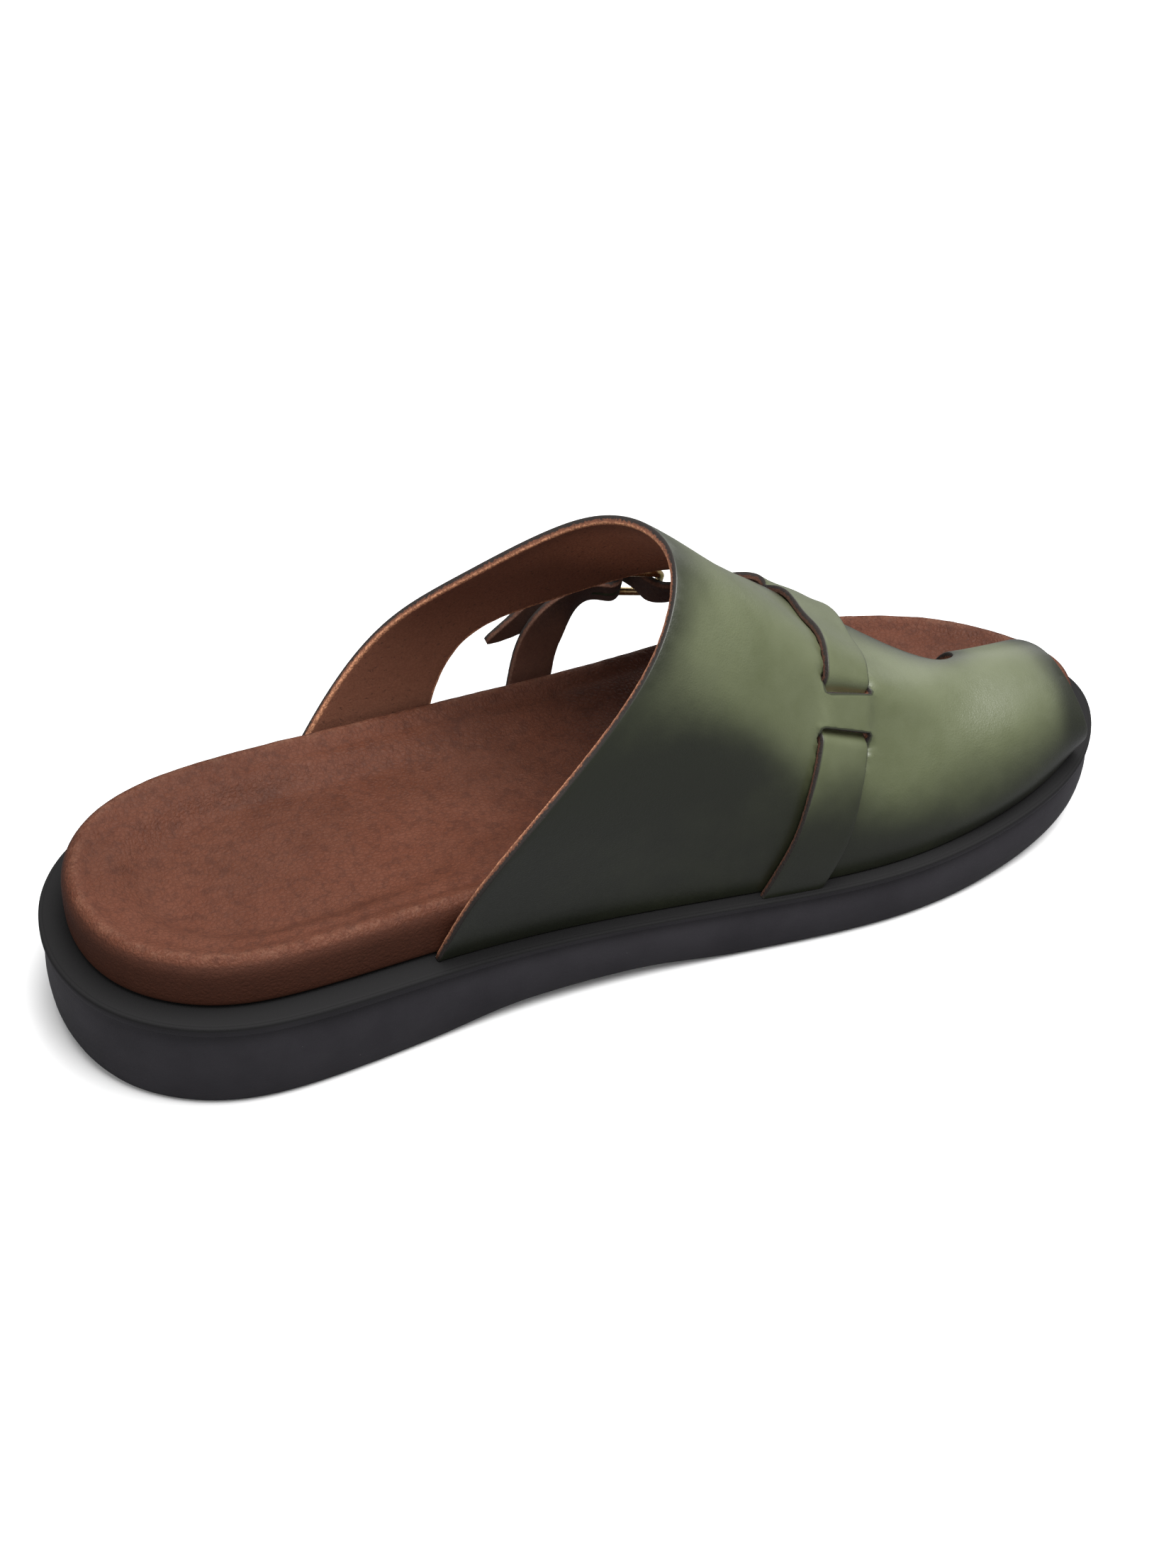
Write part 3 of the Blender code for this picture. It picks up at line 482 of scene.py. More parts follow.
def footbed_rings():
    middle = spine()
    table = np.array(FOOTBED_WALL) * (1.0, 13.0)
    knots = centripetal(table)
    wall = natural_spline(knots, FOOTBED_WALL)(np.linspace(knots[1], knots[-1], WALL_ROWS))
    under = ring(LEDGE + FOOTBED_WALL[0][0])
    over = ring(LEDGE + FOOTBED_WALL[-1][0])
    pucker = 0.14 * wander(around_sole, 60, 4)[:RING] + 0.10 * wander(around_sole, 190, 5)[:RING]
    rings = []
    rim = []
    side = []
    for share in (0.985, 0.5, 0.0):
        xy = toward(under, middle, share)
        rings.append(lay(xy, ledge_height(xy[:, 1]) + FOOTBED_LIFT))
        rim.append(0.0)
        side.append(1.0)
    for row, (inset, share) in enumerate(wall):
        xy = ring(LEDGE + inset)
        ledge, rise, _ = HEIGHT_CURVE(xy[:, 1]).T
        near = math.exp(-((inset - RIM_INSET) / 1.3) ** 2) * (share > 0.9)
        rings.append(lay(xy, ledge + FOOTBED_LIFT + np.clip(share, 0, 1) * rise + near * pucker))
        rim.append(near)
        side.append(float(smoothstep((0.97 - share) / 0.12)) * (row < WALL_ROWS * 0.7))
    for share in DISH_SHARES:
        xy = toward(over, middle, share)
        ledge, rise, _ = HEIGHT_CURVE(xy[:, 1]).T
        sunk = smoothstep(np.linalg.norm(xy - over, axis=1) / DISH_REACH)
        edge = ledge + FOOTBED_LIFT + FOOTBED_WALL[-1][1] * rise
        rings.append(lay(xy, edge + (footbed_height(xy) - edge) * sunk))
        rim.append(0.0)
        side.append(0.0)
    return rings, np.repeat(rim, RING), np.repeat(side, RING)


rings, rim, side = footbed_rings()
footbed = build("wrapped_footbed", *shell(rings), rim=rim, side=side)
stand_for(footbed, "footbed")
print("the footbed has", len(footbed.data.vertices), "points")

# %% [markdown]
# ## The last under the upper
#
# A shoe's upper is pulled over a last, a solid foot form. Sections across it, each with its half widths
# at four shares of the height, give its surface. A place on it is named by two numbers: how far round the
# section, from the inner foot at 0 over the crest at 0.55 to the outer foot at 1, and the station. With
# that surface as a function, a panel or a strap is a flat shape laid on it.

# %% Sections of the last
#         station  crest z  crest x  inner 20  45    80    outer 80  45    20
SECTIONS = [(70.0, 118.0, 5.0, 43.3, 47.2, 38.4, 22.5, 41.6, 43.5),
            (80.0, 117.0, 5.0, 42.9, 46.5, 37.2, 20.9, 41.3, 43.6),
            (110.0, 114.2, 4.6, 42.0, 44.3, 33.8, 17.6, 40.2, 43.8),
            (140.0, 110.2, 4.7, 42.2, 42.5, 32.8, 20.1, 39.8, 43.4),
            (165.0, 92.0, 8.8, 44.6, 42.6, 32.7, 26.0, 41.2, 43.3),
            (190.0, 71.3, 11.8, 47.2, 43.4, 33.6, 29.0, 42.3, 43.3),
            (215.0, 55.0, 14.8, 47.8, 44.6, 35.0, 30.0, 42.0, 42.0),
            (240.0, 49.2, 18.6, 44.8, 43.0, 35.8, 30.0, 40.0, 38.0),
            (265.0, 45.5, 19.5, 36.0, 37.5, 31.0, 25.0, 34.0, 30.0)]
ROUND = (0.0, 0.09, 0.20, 0.38, 0.55, 0.68, 0.83, 0.915, 1.0)
SHARES = (0.0, 0.208, 0.45, 0.80, 1.0, 0.80, 0.45, 0.23, 0.0)
LOOP_STATIONS = (206.0, 236.0)  # where the big toe's loop begins and is complete
LOOP_OUTER = (9.4, 4.6, 3.4, 3.0)  # x of its outer side, from 80% of the height down to its foot

SECTION_CURVE = natural_spline([row[0] for row in SECTIONS], [row[1:] for row in SECTIONS])
ROUND_BASIS = natural_spline(ROUND, np.eye(len(ROUND)))
foot_line, foot_inward = plan_curve(2000)
foot_line = foot_line + foot_inward * (LEDGE - GAP - LEATHER)
INNER_FOOT = foot_line[30:1001]
OUTER_FOOT = foot_line[1970:999:-1]


def last(around, station):
    """Outside face of the upper, row by row of (round, station)."""
    around = np.asarray(around, float)
    station = np.asarray(station, float)
    crest_z, crest_x, *sides = SECTION_CURVE(station).T
    foot_z = ledge_height(station) + GAP
    inner_foot = np.interp(station, INNER_FOOT[:, 1], INNER_FOOT[:, 0])
    outer_foot = np.interp(station, OUTER_FOOT[:, 1], OUTER_FOOT[:, 0])
    columns = [inner_foot, *sides[:3], crest_x, -sides[3], -sides[4], -sides[5], outer_foot]
    loop = smoothstep((station - LOOP_STATIONS[0]) / (LOOP_STATIONS[1] - LOOP_STATIONS[0]))
    for column, loop_x in zip(range(5, 9), LOOP_OUTER):
        columns[column] = columns[column] + (loop_x - columns[column]) * loop
    on_footbed = footbed_height(np.column_stack([np.full_like(station, LOOP_OUTER[-1]), station])) + 3 * GAP
    outer_z = foot_z + (on_footbed - foot_z) * loop
    heights = []
    for column, share in enumerate(SHARES):
        low = outer_z if column > 4 else foot_z
        heights.append(low + share * (crest_z - low))
    weights = ROUND_BASIS(around)
    x = (weights * np.column_stack(columns)).sum(axis=1)
    z = (weights * np.column_stack(heights)).sum(axis=1)
    return np.column_stack([x, station, z])


def last_slopes(around, station):
    """Changes of the last's surface per unit round and per millimetre of station."""
    around = np.asarray(around, float)
    station = np.asarray(station, float)
    step = 2e-3
    low = np.clip(around - step, 0, 1)
    high = np.clip(around + step, 0, 1)
    by_round = (last(high, station) - last(low, station)) / (high - low)[:, None]
    by_station = last(around, station + 0.5) - last(around, station - 0.5)
    return by_round, by_station


def last_normal(around, station):
    by_round, by_station = last_slopes(around, station)
    return unit(np.cross(by_station, by_round))


crest = last([0.55], [150.0])[0]
print("the crest over the instep is at", crest.round(1), "mm")

# %% [markdown]
# ## The panel of the upper
#
# One piece of leather makes the upper. It is cut flat, folded over the instep and tucked in between sole
# and footbed on both sides, with its outer side cut open and a loop for the big toe at the front. The
# edges below are rows of round and station on the last. The flat shape between them is filled with an
# even triangle mesh, because a grid could not follow the curved openings, and is then laid on the last.

# %% Edges of the panel
REAR_EDGE = [(0.0, 81.4), (0.111, 90.2), (0.222, 107.1), (0.333, 129.8), (0.444, 145.4),
             (0.556, 149.8), (0.667, 139.4), (0.778, 114.7), (0.889, 91.9), (1.0, 73.2)]
OPEN_SIDE = [(1.0, 112.5), (0.955, 114.0), (0.90, 119.5), (0.87, 126.0), (0.85, 136.0),
             (0.832, 147.0), (0.80, 160.0), (0.768, 170.0), (0.732, 178.5), (0.695, 184.5),
             (0.655, 191.0), (0.622, 199.0), (0.606, 206.0), (0.598, 212.0), (0.582, 218.0), (0.565, 223.5),
             (0.553, 228.5),
             (0.568, 233.0), (0.63, 235.0), (0.75, 236.0), (0.88, 236.0), (1.0, 236.0)]
FRONT_EDGE = [(1.0, 256.5), (0.86, 257.0), (0.70, 258.5), (0.55, 260.0), (0.40, 261.5),
              (0.25, 263.0), (0.12, 264.5), (0.0, 265.0)]
ACROSS = 180.0  # rough length of the section, to lay the panel out flat
PANEL_STEP = 1.9
EDGE_STEP = 1.3


def edge_run(points, step=EDGE_STEP):
    """Evenly spaced rows of round and station along an edge of the panel."""
    knots = centripetal(points, ACROSS)
    fine = natural_spline(knots, points)(np.linspace(0, knots[-1], 2400))
    run = run_of(fine * (ACROSS, 1))
    even = np.linspace(0, run[-1], max(2, round(run[-1] / step) + 1))
    rows = np.column_stack([np.interp(even, run, fine[:, 0]), np.interp(even, run, fine[:, 1])])
    rows[:, 0] = np.clip(rows[:, 0], 0, 1)
    return rows[:-1]


def panel_outline():
    """The panel's outer edge as cut, once round."""
    edges = (REAR_EDGE,
             [REAR_EDGE[-1], OPEN_SIDE[0]],
             OPEN_SIDE,
             [OPEN_SIDE[-1], FRONT_EDGE[0]],
             FRONT_EDGE,
             [FRONT_EDGE[-1], REAR_EDGE[0]])
    return np.concatenate([edge_run(edge) for edge in edges])


def inside(loop, points):
    """Which points lie inside a closed loop."""
    x, y = points[:, 0][:, None], points[:, 1][:, None]
    x0, y0 = loop.T
    x1, y1 = np.roll(loop, -1, axis=0).T
    crosses = (y0 > y) != (y1 > y)
    with np.errstate(divide="ignore", invalid="ignore"):
        left = x < (x1 - x0) * (y - y0) / (y1 - y0) + x0
    return (crosses & left).sum(axis=1) % 2 == 1


def distance(loop, points):
    """Distance of each point from a closed loop."""
    start = loop[None]
    side = np.roll(loop, -1, axis=0)[None] - start
    length = (side * side).sum(axis=2)
    nearest = []
    for some in np.array_split(points, len(points) // 1000 + 1):
        to = some[:, None] - start
        share = np.clip((to * side).sum(axis=2) / length, 0, 1)[..., None]
        nearest.append(np.linalg.norm(to - side * share, axis=2).min(axis=1))
    return np.concatenate(nearest)


outline = panel_outline()
print("the panel's edge is", round(float(run_of(last(*outline.T))[-1])), "mm long")

# %% [markdown]
# ## Where the strap runs
#
# The strap starts at the inner ledge, dives through a slot under a bridge of the panel, comes up through
# a second slot, crosses the top and leaves the panel's outer edge for the buckle. While it lies on the
# last, its middle line is again rows of round and station. In the air it is rows of place and direction
# across. The slots are cut square to the same line, so the strap always passes through them.

# %% The strap's line on the last
STRAP_PATH = [(0.0, 172.0), (0.10, 177.6), (0.19, 181.8), (0.303, 187.4), (0.42, 191.2),
              (0.50, 194.2), (0.575, 200.0), (0.62, 203.4), (0.66, 203.0)]
SLOTS = (0.305, 0.425)
SLOT_WIDTH = 3.6
SLOT_ROOM = 0.35  # beside the strap
LEAVES_PANEL = (0.60, 0.655)


def path_curve(path):
    """A strip's middle line as dense rows of round and station, with its length run up to each."""
    knots = centripetal(path, ACROSS)
    rows = natural_spline(knots, path)(np.linspace(0.0, knots[-1], 900))
    return rows, run_of(last(rows[:, 0], rows[:, 1]))


def path_frame(path, run_at):
    """Round and station, point, along, across (towards the toe) and normal at each length along a path."""
    rows, run = path
    where, ahead, behind = (np.column_stack([np.interp(run_at + step, run, rows[:, 0]),
                                             np.interp(run_at + step, run, rows[:, 1])])
                            for step in (0.0, 1.5, -1.5))
    normal = last_normal(*where.T)
    along = last(*ahead.T) - last(*behind.T)
    along = unit(along - normal * (along * normal).sum(axis=1, keepdims=True))
    return where, last(*where.T), along, np.cross(along, normal), normal


def sideways(where, across):
    """Change of round and station for a step of a millimetre across a strip. It runs level at a foot."""
    by_round, by_station = last_slopes(*where.T)
    rr = (by_round * by_round).sum(axis=1)
    rs = (by_round * by_station).sum(axis=1)
    ss = (by_station * by_station).sum(axis=1)
    ra = (by_round * across).sum(axis=1)
    sa = (by_station * across).sum(axis=1)
    scale = rr * ss - rs * rs
    square = np.column_stack([(ss * ra - rs * sa) / scale, (rr * sa - rs * ra) / scale])
    level = np.column_stack([np.zeros_like(sa), 1 / sa])
    free = smoothstep(np.minimum(where[:, 0], 1 - where[:, 0]) / 0.10)[:, None]
    return level + (square - level) * free


def run_at_round(path, around):
    rows, run = path
    return float(np.interp(around, rows[:, 0], run))


def slot_outline(around):
    """A slot across the strap's path, with its corners rounded."""
    centre = run_at_round(STRAP, around)
    half_length = STRAP_WIDTH / 2 + SLOT_ROOM
    half_width = SLOT_WIDTH / 2
    corner = 0.6
    spots = []
    for x, y, start in ((1, 1, 0), (-1, 1, 90), (-1, -1, 180), (1, -1, 270)):
        for turn in range(0, 91, 15):
            angle = math.radians(start + turn)
            spots.append((x * (half_width - corner) + corner * math.cos(angle),
                          y * (half_length - corner) + corner * math.sin(angle)))
    spots = np.array(spots)
    closed = np.vstack([spots, spots[:1]])
    run = run_of(closed)
    even = np.linspace(0, run[-1], round(run[-1] / 0.8) + 1)[:-1]
    spots = np.column_stack([np.interp(even, run, closed[:, 0]), np.interp(even, run, closed[:, 1])])
    where, _, _, side, _ = path_frame(STRAP, centre + spots[:, 0])
    return where + sideways(where, side) * spots[:, 1:]


STRAP = path_curve(STRAP_PATH)
print("the strap lies", round(float(STRAP[1][-1])), "mm on the last before it leaves it")

# %% [markdown]
# ## How leather gives way
#
# Where a strap is pulled tight through a slot, neither leather stays flat. The panel sinks under the
# strap on its way into the slot, and the bridge is pushed out over it, so the slot closes to a thin dark
# line. One function of the place along and beside the strap gives that relief, and both the panel and the
# strap use it.

# %% Relief of the panel round the strap
SINK = 1.75
SINK_LENGTH = 9.0
BULGE = 1.0
HOLLOW = 1.8  # where the strap is pulled down over the crest
HOLLOW_ROUND = 0.56
HOLLOW_REACH = (15.0, 16.0)  # along and beside the strap


def beside_strap(points):
    """For each point, the nearest run of the strap, and how far beside the strap's middle it lies."""
    runs = STRAP[1][::4]
    line = last(*STRAP[0][::4].T)
    nearest = np.concatenate([np.linalg.norm(some[:, None] - line[None], axis=2).argmin(axis=1)
                              for some in np.array_split(points, len(points) // 1000 + 1)])
    _, middle, _, side, _ = path_frame(STRAP, runs[nearest])
    return runs[nearest], ((points - middle) * side).sum(axis=1)


def give(run, offset, passing):
    """How far the leather is pushed out. The change from sunk to risen takes the passing length."""
    first, second = (run_at_round(STRAP, around) for around in SLOTS)
    past_slot = np.abs(run - (first + second) / 2) - (second - first) / 2
    beside = np.abs(offset) - STRAP_WIDTH / 2
    course = smoothstep(past_slot / passing + 0.5)
    risen = BULGE * (1 - course) * (1 - smoothstep(beside / 3.6 + 0.4))
    sunk = SINK * course * np.exp(-(np.clip(past_slot, 0, None) / SINK_LENGTH) ** 1.6)
    along, across = HOLLOW_REACH
    pulled = ((run - run_at_round(STRAP, HOLLOW_ROUND)) / along) ** 2 + (offset / across) ** 2
    return risen - sunk * (1 - smoothstep((beside - 0.4) / 1.6 + 0.5)) - HOLLOW * np.exp(-pulled)


slot_runs = [run_at_round(STRAP, around) for around in SLOTS]
print(f"the bridge is {slot_runs[1] - slot_runs[0] - SLOT_WIDTH:.1f} mm wide")

# %% [markdown]
# ## Cutting and laying the panel
#
# Thick leather shows its cut edge: burnished and dark towards the grain side, rough and pale towards the
# flesh side. So each border point becomes a short row of points from one face to the other, rounded at
# both corners and a little ragged on the flesh side. Every point also keeps three numbers for the finish:
# its depth in the leather, its distance from a cut edge, and how dark the place is made: how strongly the
# maker burnished it, with painted shade added low on the side and behind the rear edge.

# %% The panel as a solid
#             outwards  depth, in millimetres
EDGE_PROFILE = [(-0.42, 0.00),
                (-0.16, 0.09),
                (-0.02, 0.34),
                (0.05, 0.80),
                (0.07, 1.20),
                (0.04, 1.60),
                (-0.03, 1.93),
                (-0.20, 2.13),
                (-0.42, 2.20)]
RAGGED = 0.08
UNEVEN = 0.13  # how far the laid leather wanders from the last's surface


def uneven(points):
    """Slow, shallow waves of leather that was pulled by hand."""
    x, y, z = points.T
    waves = np.sin(x / 9.1 + y / 13.7) + np.sin(z / 7.3 - y / 10.9 + 1.3) + np.sin((x + z) / 6.1 + 4.0)
    return UNEVEN * waves / 2


# Burnish and painted shade: how far they reach, in millimetres
REAR_REACH = 10.0
REAR_REACH_LOW = 20.0  # more, low on the side
EDGE_REACH = 7.0
FOOT_TOP = 20.0  # over the ledge, at the toes
FOOT_TOP_HEEL = 44.0  # more, towards the heel
FOOT_FADE = 36.0


def burnish_and_shade_of(where, height, from_edge):
    """How dark a place is made: burnish along the cut edges, most at the rear one, with painted shade low on
    the side and down at the ledge.
    """
    rows = np.array(REAR_EDGE)
    behind = where[:, 1] - natural_spline(rows[:, 0], rows[:, 1])(where[:, 0])[:, 0]
    low = smoothstep((76.0 - height) / 60.0)
    # Burnish behind the rear edge, spread wider low on the side as painted shade
    rear = np.exp(-(np.clip(behind, 0, None) / (REAR_REACH + REAR_REACH_LOW * low)) ** 1.5)
    top_of_foot = FOOT_TOP + FOOT_TOP_HEEL * smoothstep((210 - where[:, 1]) / 80)
    # Painted shade: darker down towards the ledge, reaching higher towards the heel
    foot = 1 - smoothstep((height - top_of_foot + 20.0) / FOOT_FADE)
    edge = np.exp(-(from_edge / EDGE_REACH) ** 1.5) * smoothstep(height / 20.0)
    edge *= smoothstep((where[:, 1] - 150) / 40)
    along_rear = rear * (0.78 - 0.35 * low)
    along_foot = foot * (0.84 + 0.16 * smoothstep((height - 26.0) / 20.0))
    return np.clip(1 - (1 - along_rear) * (1 - along_foot) + edge * 0.7, 0, 1)


def fill_flat(loops, step):
    """Even triangles between an outer loop and the holes in it, on the flat."""
    low, high = loops[0].min(axis=0), loops[0].max(axis=0)
    filling = []
    for row, y in enumerate(np.arange(low[1], high[1], step * 0.87)):
        filling += [(x, y) for x in np.arange(low[0] + step / 2 * (row % 2), high[0], step)]
    filling = np.array(filling)
    kept = inside(loops[0], filling)
    for loop in loops[1:]:
        kept &= ~inside(loop, filling)
    for loop in loops:
        kept &= distance(loop, filling) > step * 0.55
    points = np.concatenate(loops + [filling[kept]])
    borders = []
    start = 0
    for loop in loops:
        borders += [(start + i, start + (i + 1) % len(loop)) for i in range(len(loop))]
        start += len(loop)
    placed, _, cells, *_ = delaunay_2d_cdt([Vector(point) for point in points], borders, [], 0, 1e-6)
    placed = np.array([tuple(v) for v in placed])
    cells = np.array([tuple(cell) for cell in cells])
    centres = placed[cells].mean(axis=1)
    kept = inside(loops[0], centres)
    for loop in loops[1:]:
        kept &= ~inside(loop, centres)
    return placed, cells[kept]


def outwards_of(loops, outer, normal):
    """For each border point, the way out of the leather along its surface."""
    ways = []
    start = 0
    for number, loop in enumerate(loops):
        here = outer[start:start + len(loop)]
        tangent = unit(np.roll(here, -1, axis=0) - np.roll(here, 1, axis=0))
        x, y = loop.T
        turning = (x * np.roll(y, -1) - y * np.roll(x, -1)).sum()
        sign = np.sign(turning) * (1 if number == 0 else -1)
        ways.append(unit(np.cross(normal[start:start + len(loop)], tangent)) * sign)
        start += len(loop)
    return np.concatenate(ways)


def panel():
    flat = np.array((ACROSS, 1.0))
    loops = [outline * flat] + [slot_outline(around) * flat for around in SLOTS]
    placed, cells = fill_flat(loops, PANEL_STEP)
    where = placed / flat
    outer = last(*where.T)
    normal = last_normal(*where.T)
    height = outer[:, 2] - ledge_height(where[:, 1])
    from_edge = distance(loops[0], placed)
    burnish_and_shade = burnish_and_shade_of(where, height, from_edge)
    edge = np.minimum.reduce([from_edge] + [distance(loop, placed) for loop in loops[1:]])
    at_foot = (where[:, 0] < 1e-6) | (where[:, 0] > 1 - 1e-6)
    normal[at_foot, 2] = 0
    normal = unit(normal)
    raised = uneven(outer) * smoothstep(height / 12.0) + give(*beside_strap(outer), SLOT_WIDTH)
    outer = outer + normal * raised[:, None]
    count = len(outer)
    border = sum(len(loop) for loop in loops)
    outwards = outwards_of(loops, outer, normal)
    chance = np.random.default_rng(12)
    layers = [outer.copy(), outer - normal * LEATHER]
    layers[0][:border] += outwards * EDGE_PROFILE[0][0]
    layers[1][:border] = outer[:border] - normal[:border] * LEATHER + outwards * EDGE_PROFILE[-1][0]
    vertices = [layers[0], layers[1]]
    depth = [np.zeros(count), np.ones(count)]
    edges = [edge, edge]
    burnish_and_shade_rows = [burnish_and_shade, burnish_and_shade]
    for out, deep in EDGE_PROFILE[1:-1]:
        ragged = chance.uniform(-1, 1, border) * RAGGED * smoothstep(deep / LEATHER * 1.4 - 0.2)
        spots = outer[:border] - normal[:border] * deep + outwards * (out + ragged)[:, None]
        vertices.append(spots)
        depth.append(np.full(border, deep / LEATHER))
        edges.append(np.zeros(border))
        burnish_and_shade_rows.append(burnish_and_shade[:border])
    faces = [tuple(cell) for cell in cells] + [tuple(count + cell[::-1]) for cell in cells]
    rows = [0] + [2 * count + k * border for k in range(len(EDGE_PROFILE) - 2)] + [count]
    start = 0
    for number, loop in enumerate(loops):
        x, y = loop.T
        anticlockwise = (x * np.roll(y, -1) - y * np.roll(x, -1)).sum() > 0
        for i in range(len(loop)):
            a, b = start + i, start + (i + 1) % len(loop)
            if anticlockwise == (number == 0):
                a, b = b, a
            faces += [(top + a, top + b, under + b, under + a) for top, under in zip(rows, rows[1:])]
        start += len(loop)
    marks = {"depth": np.concatenate(depth),
             "edge": np.concatenate(edges),
             "burnish_and_shade": np.concatenate(burnish_and_shade_rows)}
    return np.concatenate(vertices), faces, marks


def face_out(vertices, faces):
    """Turns every face round if together they look inwards."""
    total = 0.0
    for face in faces:
        first = vertices[face[0]]
        for b, c in zip(face[1:-1], face[2:]):
            total += np.dot(first, np.cross(vertices[b], vertices[c]))
    return faces if total > 0 else [tuple(face)[::-1] for face in faces]


vertices, faces, marks = panel()
upper = build("leather_panel", vertices, face_out(vertices, faces), **marks)
stand_for(upper, "upper")
print("the panel has", len(upper.data.vertices), "points")

# %% [markdown]
# ## The strap's way through the air and the buckle
#
# Past the panel nothing carries the strap but its own stiffness and the buckle, so its line there is a
# spline through a few measured rows. The buckle lies on a short straight stretch of it, and sets a plane
# of its own: along the strap, across it, and out from the foot. Frame, prong and both leather ends are
# placed in that plane.

# %% The buckle's plane and the two lines through it
BUCKLE_MIDDLE = (-42.8, 170.7, 48.2)
BUCKLE_HEADING = (-0.41, -0.91, 0.0)
BUCKLE_SIDE = (-0.585, 0.26, -0.77)
BUCKLE_FLAT = 10.5
WIRE = 2.2
PRONG_WIRE = 1.4
FREE_SIDE = -8.0
BAR = 5.0
FRAME_HALF_WIDTH = STRAP_WIDTH / 2 + GAP + WIRE / 2 + 0.5
BILLET_WIDTHS = (14.0, 12.4)  # at the bar and at the foot
BILLET_FOOT = 140.4

#                  x      y      z      across
STRAP_BEFORE = [(-30.8, 192.6, 53.6, -0.66, 0.42, -0.62)]
STRAP_AFTER = [(-46.9, 147.0, 43.6, -0.34, 0.08, -0.94),
               (-47.2, 133.8, 37.8, -0.28, 0.10, -0.95)]
BILLET_AFTER = [(-46.0, 151.0, 43.4, -0.22, 0.70, -0.68),
                (-45.4, 145.4, 34.0, -0.08, 0.94, -0.33)]


def squared(along, across):
    """A strip's direction across, squared to its heading, and its outward normal."""
    normal = unit(np.cross(across, along))
    return np.cross(along, normal), normal


BUCKLE_POINT = np.array(BUCKLE_MIDDLE)
BUCKLE_ALONG = unit(np.array(BUCKLE_HEADING))
BUCKLE_ACROSS, BUCKLE_NORMAL = squared(BUCKLE_ALONG, np.array(BUCKLE_SIDE))


def in_buckle(along, across, height):
    """A point in the buckle's own plane axes."""
    along, across, height = (np.asarray(v, float)[..., None] for v in (along, across, height))
    return BUCKLE_POINT + along * BUCKLE_ALONG + across * BUCKLE_ACROSS + height * BUCKLE_NORMAL


def course(before, after, start_run):
    """A strip's run through the air: rows of place and direction across, lengths, and where the buckle is."""
    steady = [(*in_buckle(along, 0.0, 0.0), *BUCKLE_ACROSS)
              for along in np.linspace(-BUCKLE_FLAT, BUCKLE_FLAT, 5)]
    rows = np.array([*before, *steady, *after], float)
    steps = np.sqrt(np.linalg.norm(np.diff(rows[:, :3], axis=0), axis=1))
    knots = np.concatenate([[0.0], np.cumsum(steps)])
    dense = natural_spline(knots, rows)(np.linspace(0.0, knots[-1], 1200))
    run = start_run + run_of(dense[:, :3])
    buckle = run[np.linalg.norm(dense[:, :3] - BUCKLE_POINT, axis=1).argmin()]
    return dense, run, buckle


def in_air(line, runs, offset, height):
    """Points beside a strip's run through the air."""
    dense, run, _ = line
    runs = np.clip(runs, run[0] + 0.5, run[-1])
    row = np.column_stack([np.interp(runs, run, column) for column in dense.T])
    ahead = np.column_stack([np.interp(runs + 1.0, run, column) for column in dense.T[:3]])
    behind = np.column_stack([np.interp(runs - 1.0, run, column) for column in dense.T[:3]])
    across, normal = squared(unit(ahead - behind), row[:, 3:])
    return row[:, :3] + across * offset[:, None] + normal * height[:, None]


leaving_runs = np.array([run_at_round(STRAP, around) for around in np.linspace(0.52, LEAVES_PANEL[1], 5)])
_, leaving_points, _, leaving_across, _ = path_frame(STRAP, leaving_runs)
LEAVING = np.column_stack([leaving_points, leaving_across])
STRAP_LINE = course([*LEAVING, *STRAP_BEFORE], STRAP_AFTER, leaving_runs[0])
FOOT_PLACE = last([1.0], [BILLET_FOOT])[0] + (LEATHER - STRAP_LEATHER / 2 - 0.1, 0.0, 0.0)
BILLET_LINE = course([], [*BILLET_AFTER, (*FOOT_PLACE, 0.0, 1.0, 0.0)], 0.0)


def strap_points(runs, offset, height):
    """Points beside the strap's middle line: over the last, then through the air."""
    where, _, _, side, _ = path_frame(STRAP, np.minimum(runs, STRAP[1][-1] - 1.6))
    spot = where + sideways(where, side) * offset[:, None]
    spot[:, 0] = np.clip(spot[:, 0], 0, 1)
    resting = last(*spot.T) + last_normal(*spot.T) * height[:, None]
    first, second = (run_at_round(STRAP, around) for around in LEAVES_PANEL)
    free = smoothstep((runs - first) / (second - first))[:, None]
    return resting + (in_air(STRAP_LINE, runs, offset, height) - resting) * free


def billet_points(runs, offset, height):
    return in_air(BILLET_LINE, runs, offset, height)


print(f"the strap is {STRAP_LINE[1][-1]:.0f} mm long from the ledge to its tip")

# %% [markdown]
# ## A strip of leather
#
# A strap's section is a flat oblong with rounded corners and slightly ragged sides. It is swept along the
# line: each point of the section asks for its own place beside the line, so the strip lies truly on the
# curved last and twists in the air without thinning. The same three numbers as on the panel go with every
# point.

# %% Sweeping a strip
STRIP_COLUMNS = 11
#             out from the square side, height as a share of half the thickness
STRIP_SIDE = [(-0.15, 0.92),
              (0.00, 0.66),
              (0.05, 0.22),
              (0.05, -0.22),
              (0.00, -0.66),
              (-0.15, -0.92)]
CORNER = 0.42


def strip_section():
    """Round a strip's section: share of the flat's half width, distance past it, and height share."""
    flat = np.linspace(-1, 1, STRIP_COLUMNS)
    rows = [(share, 0.0, 1.0) for share in flat]
    rows += [(1.0, CORNER + out, rise) for out, rise in STRIP_SIDE]
    rows += [(share, 0.0, -1.0) for share in flat[::-1]]
    rows += [(-1.0, -CORNER - out, rise) for out, rise in STRIP_SIDE[::-1]]
    return rows


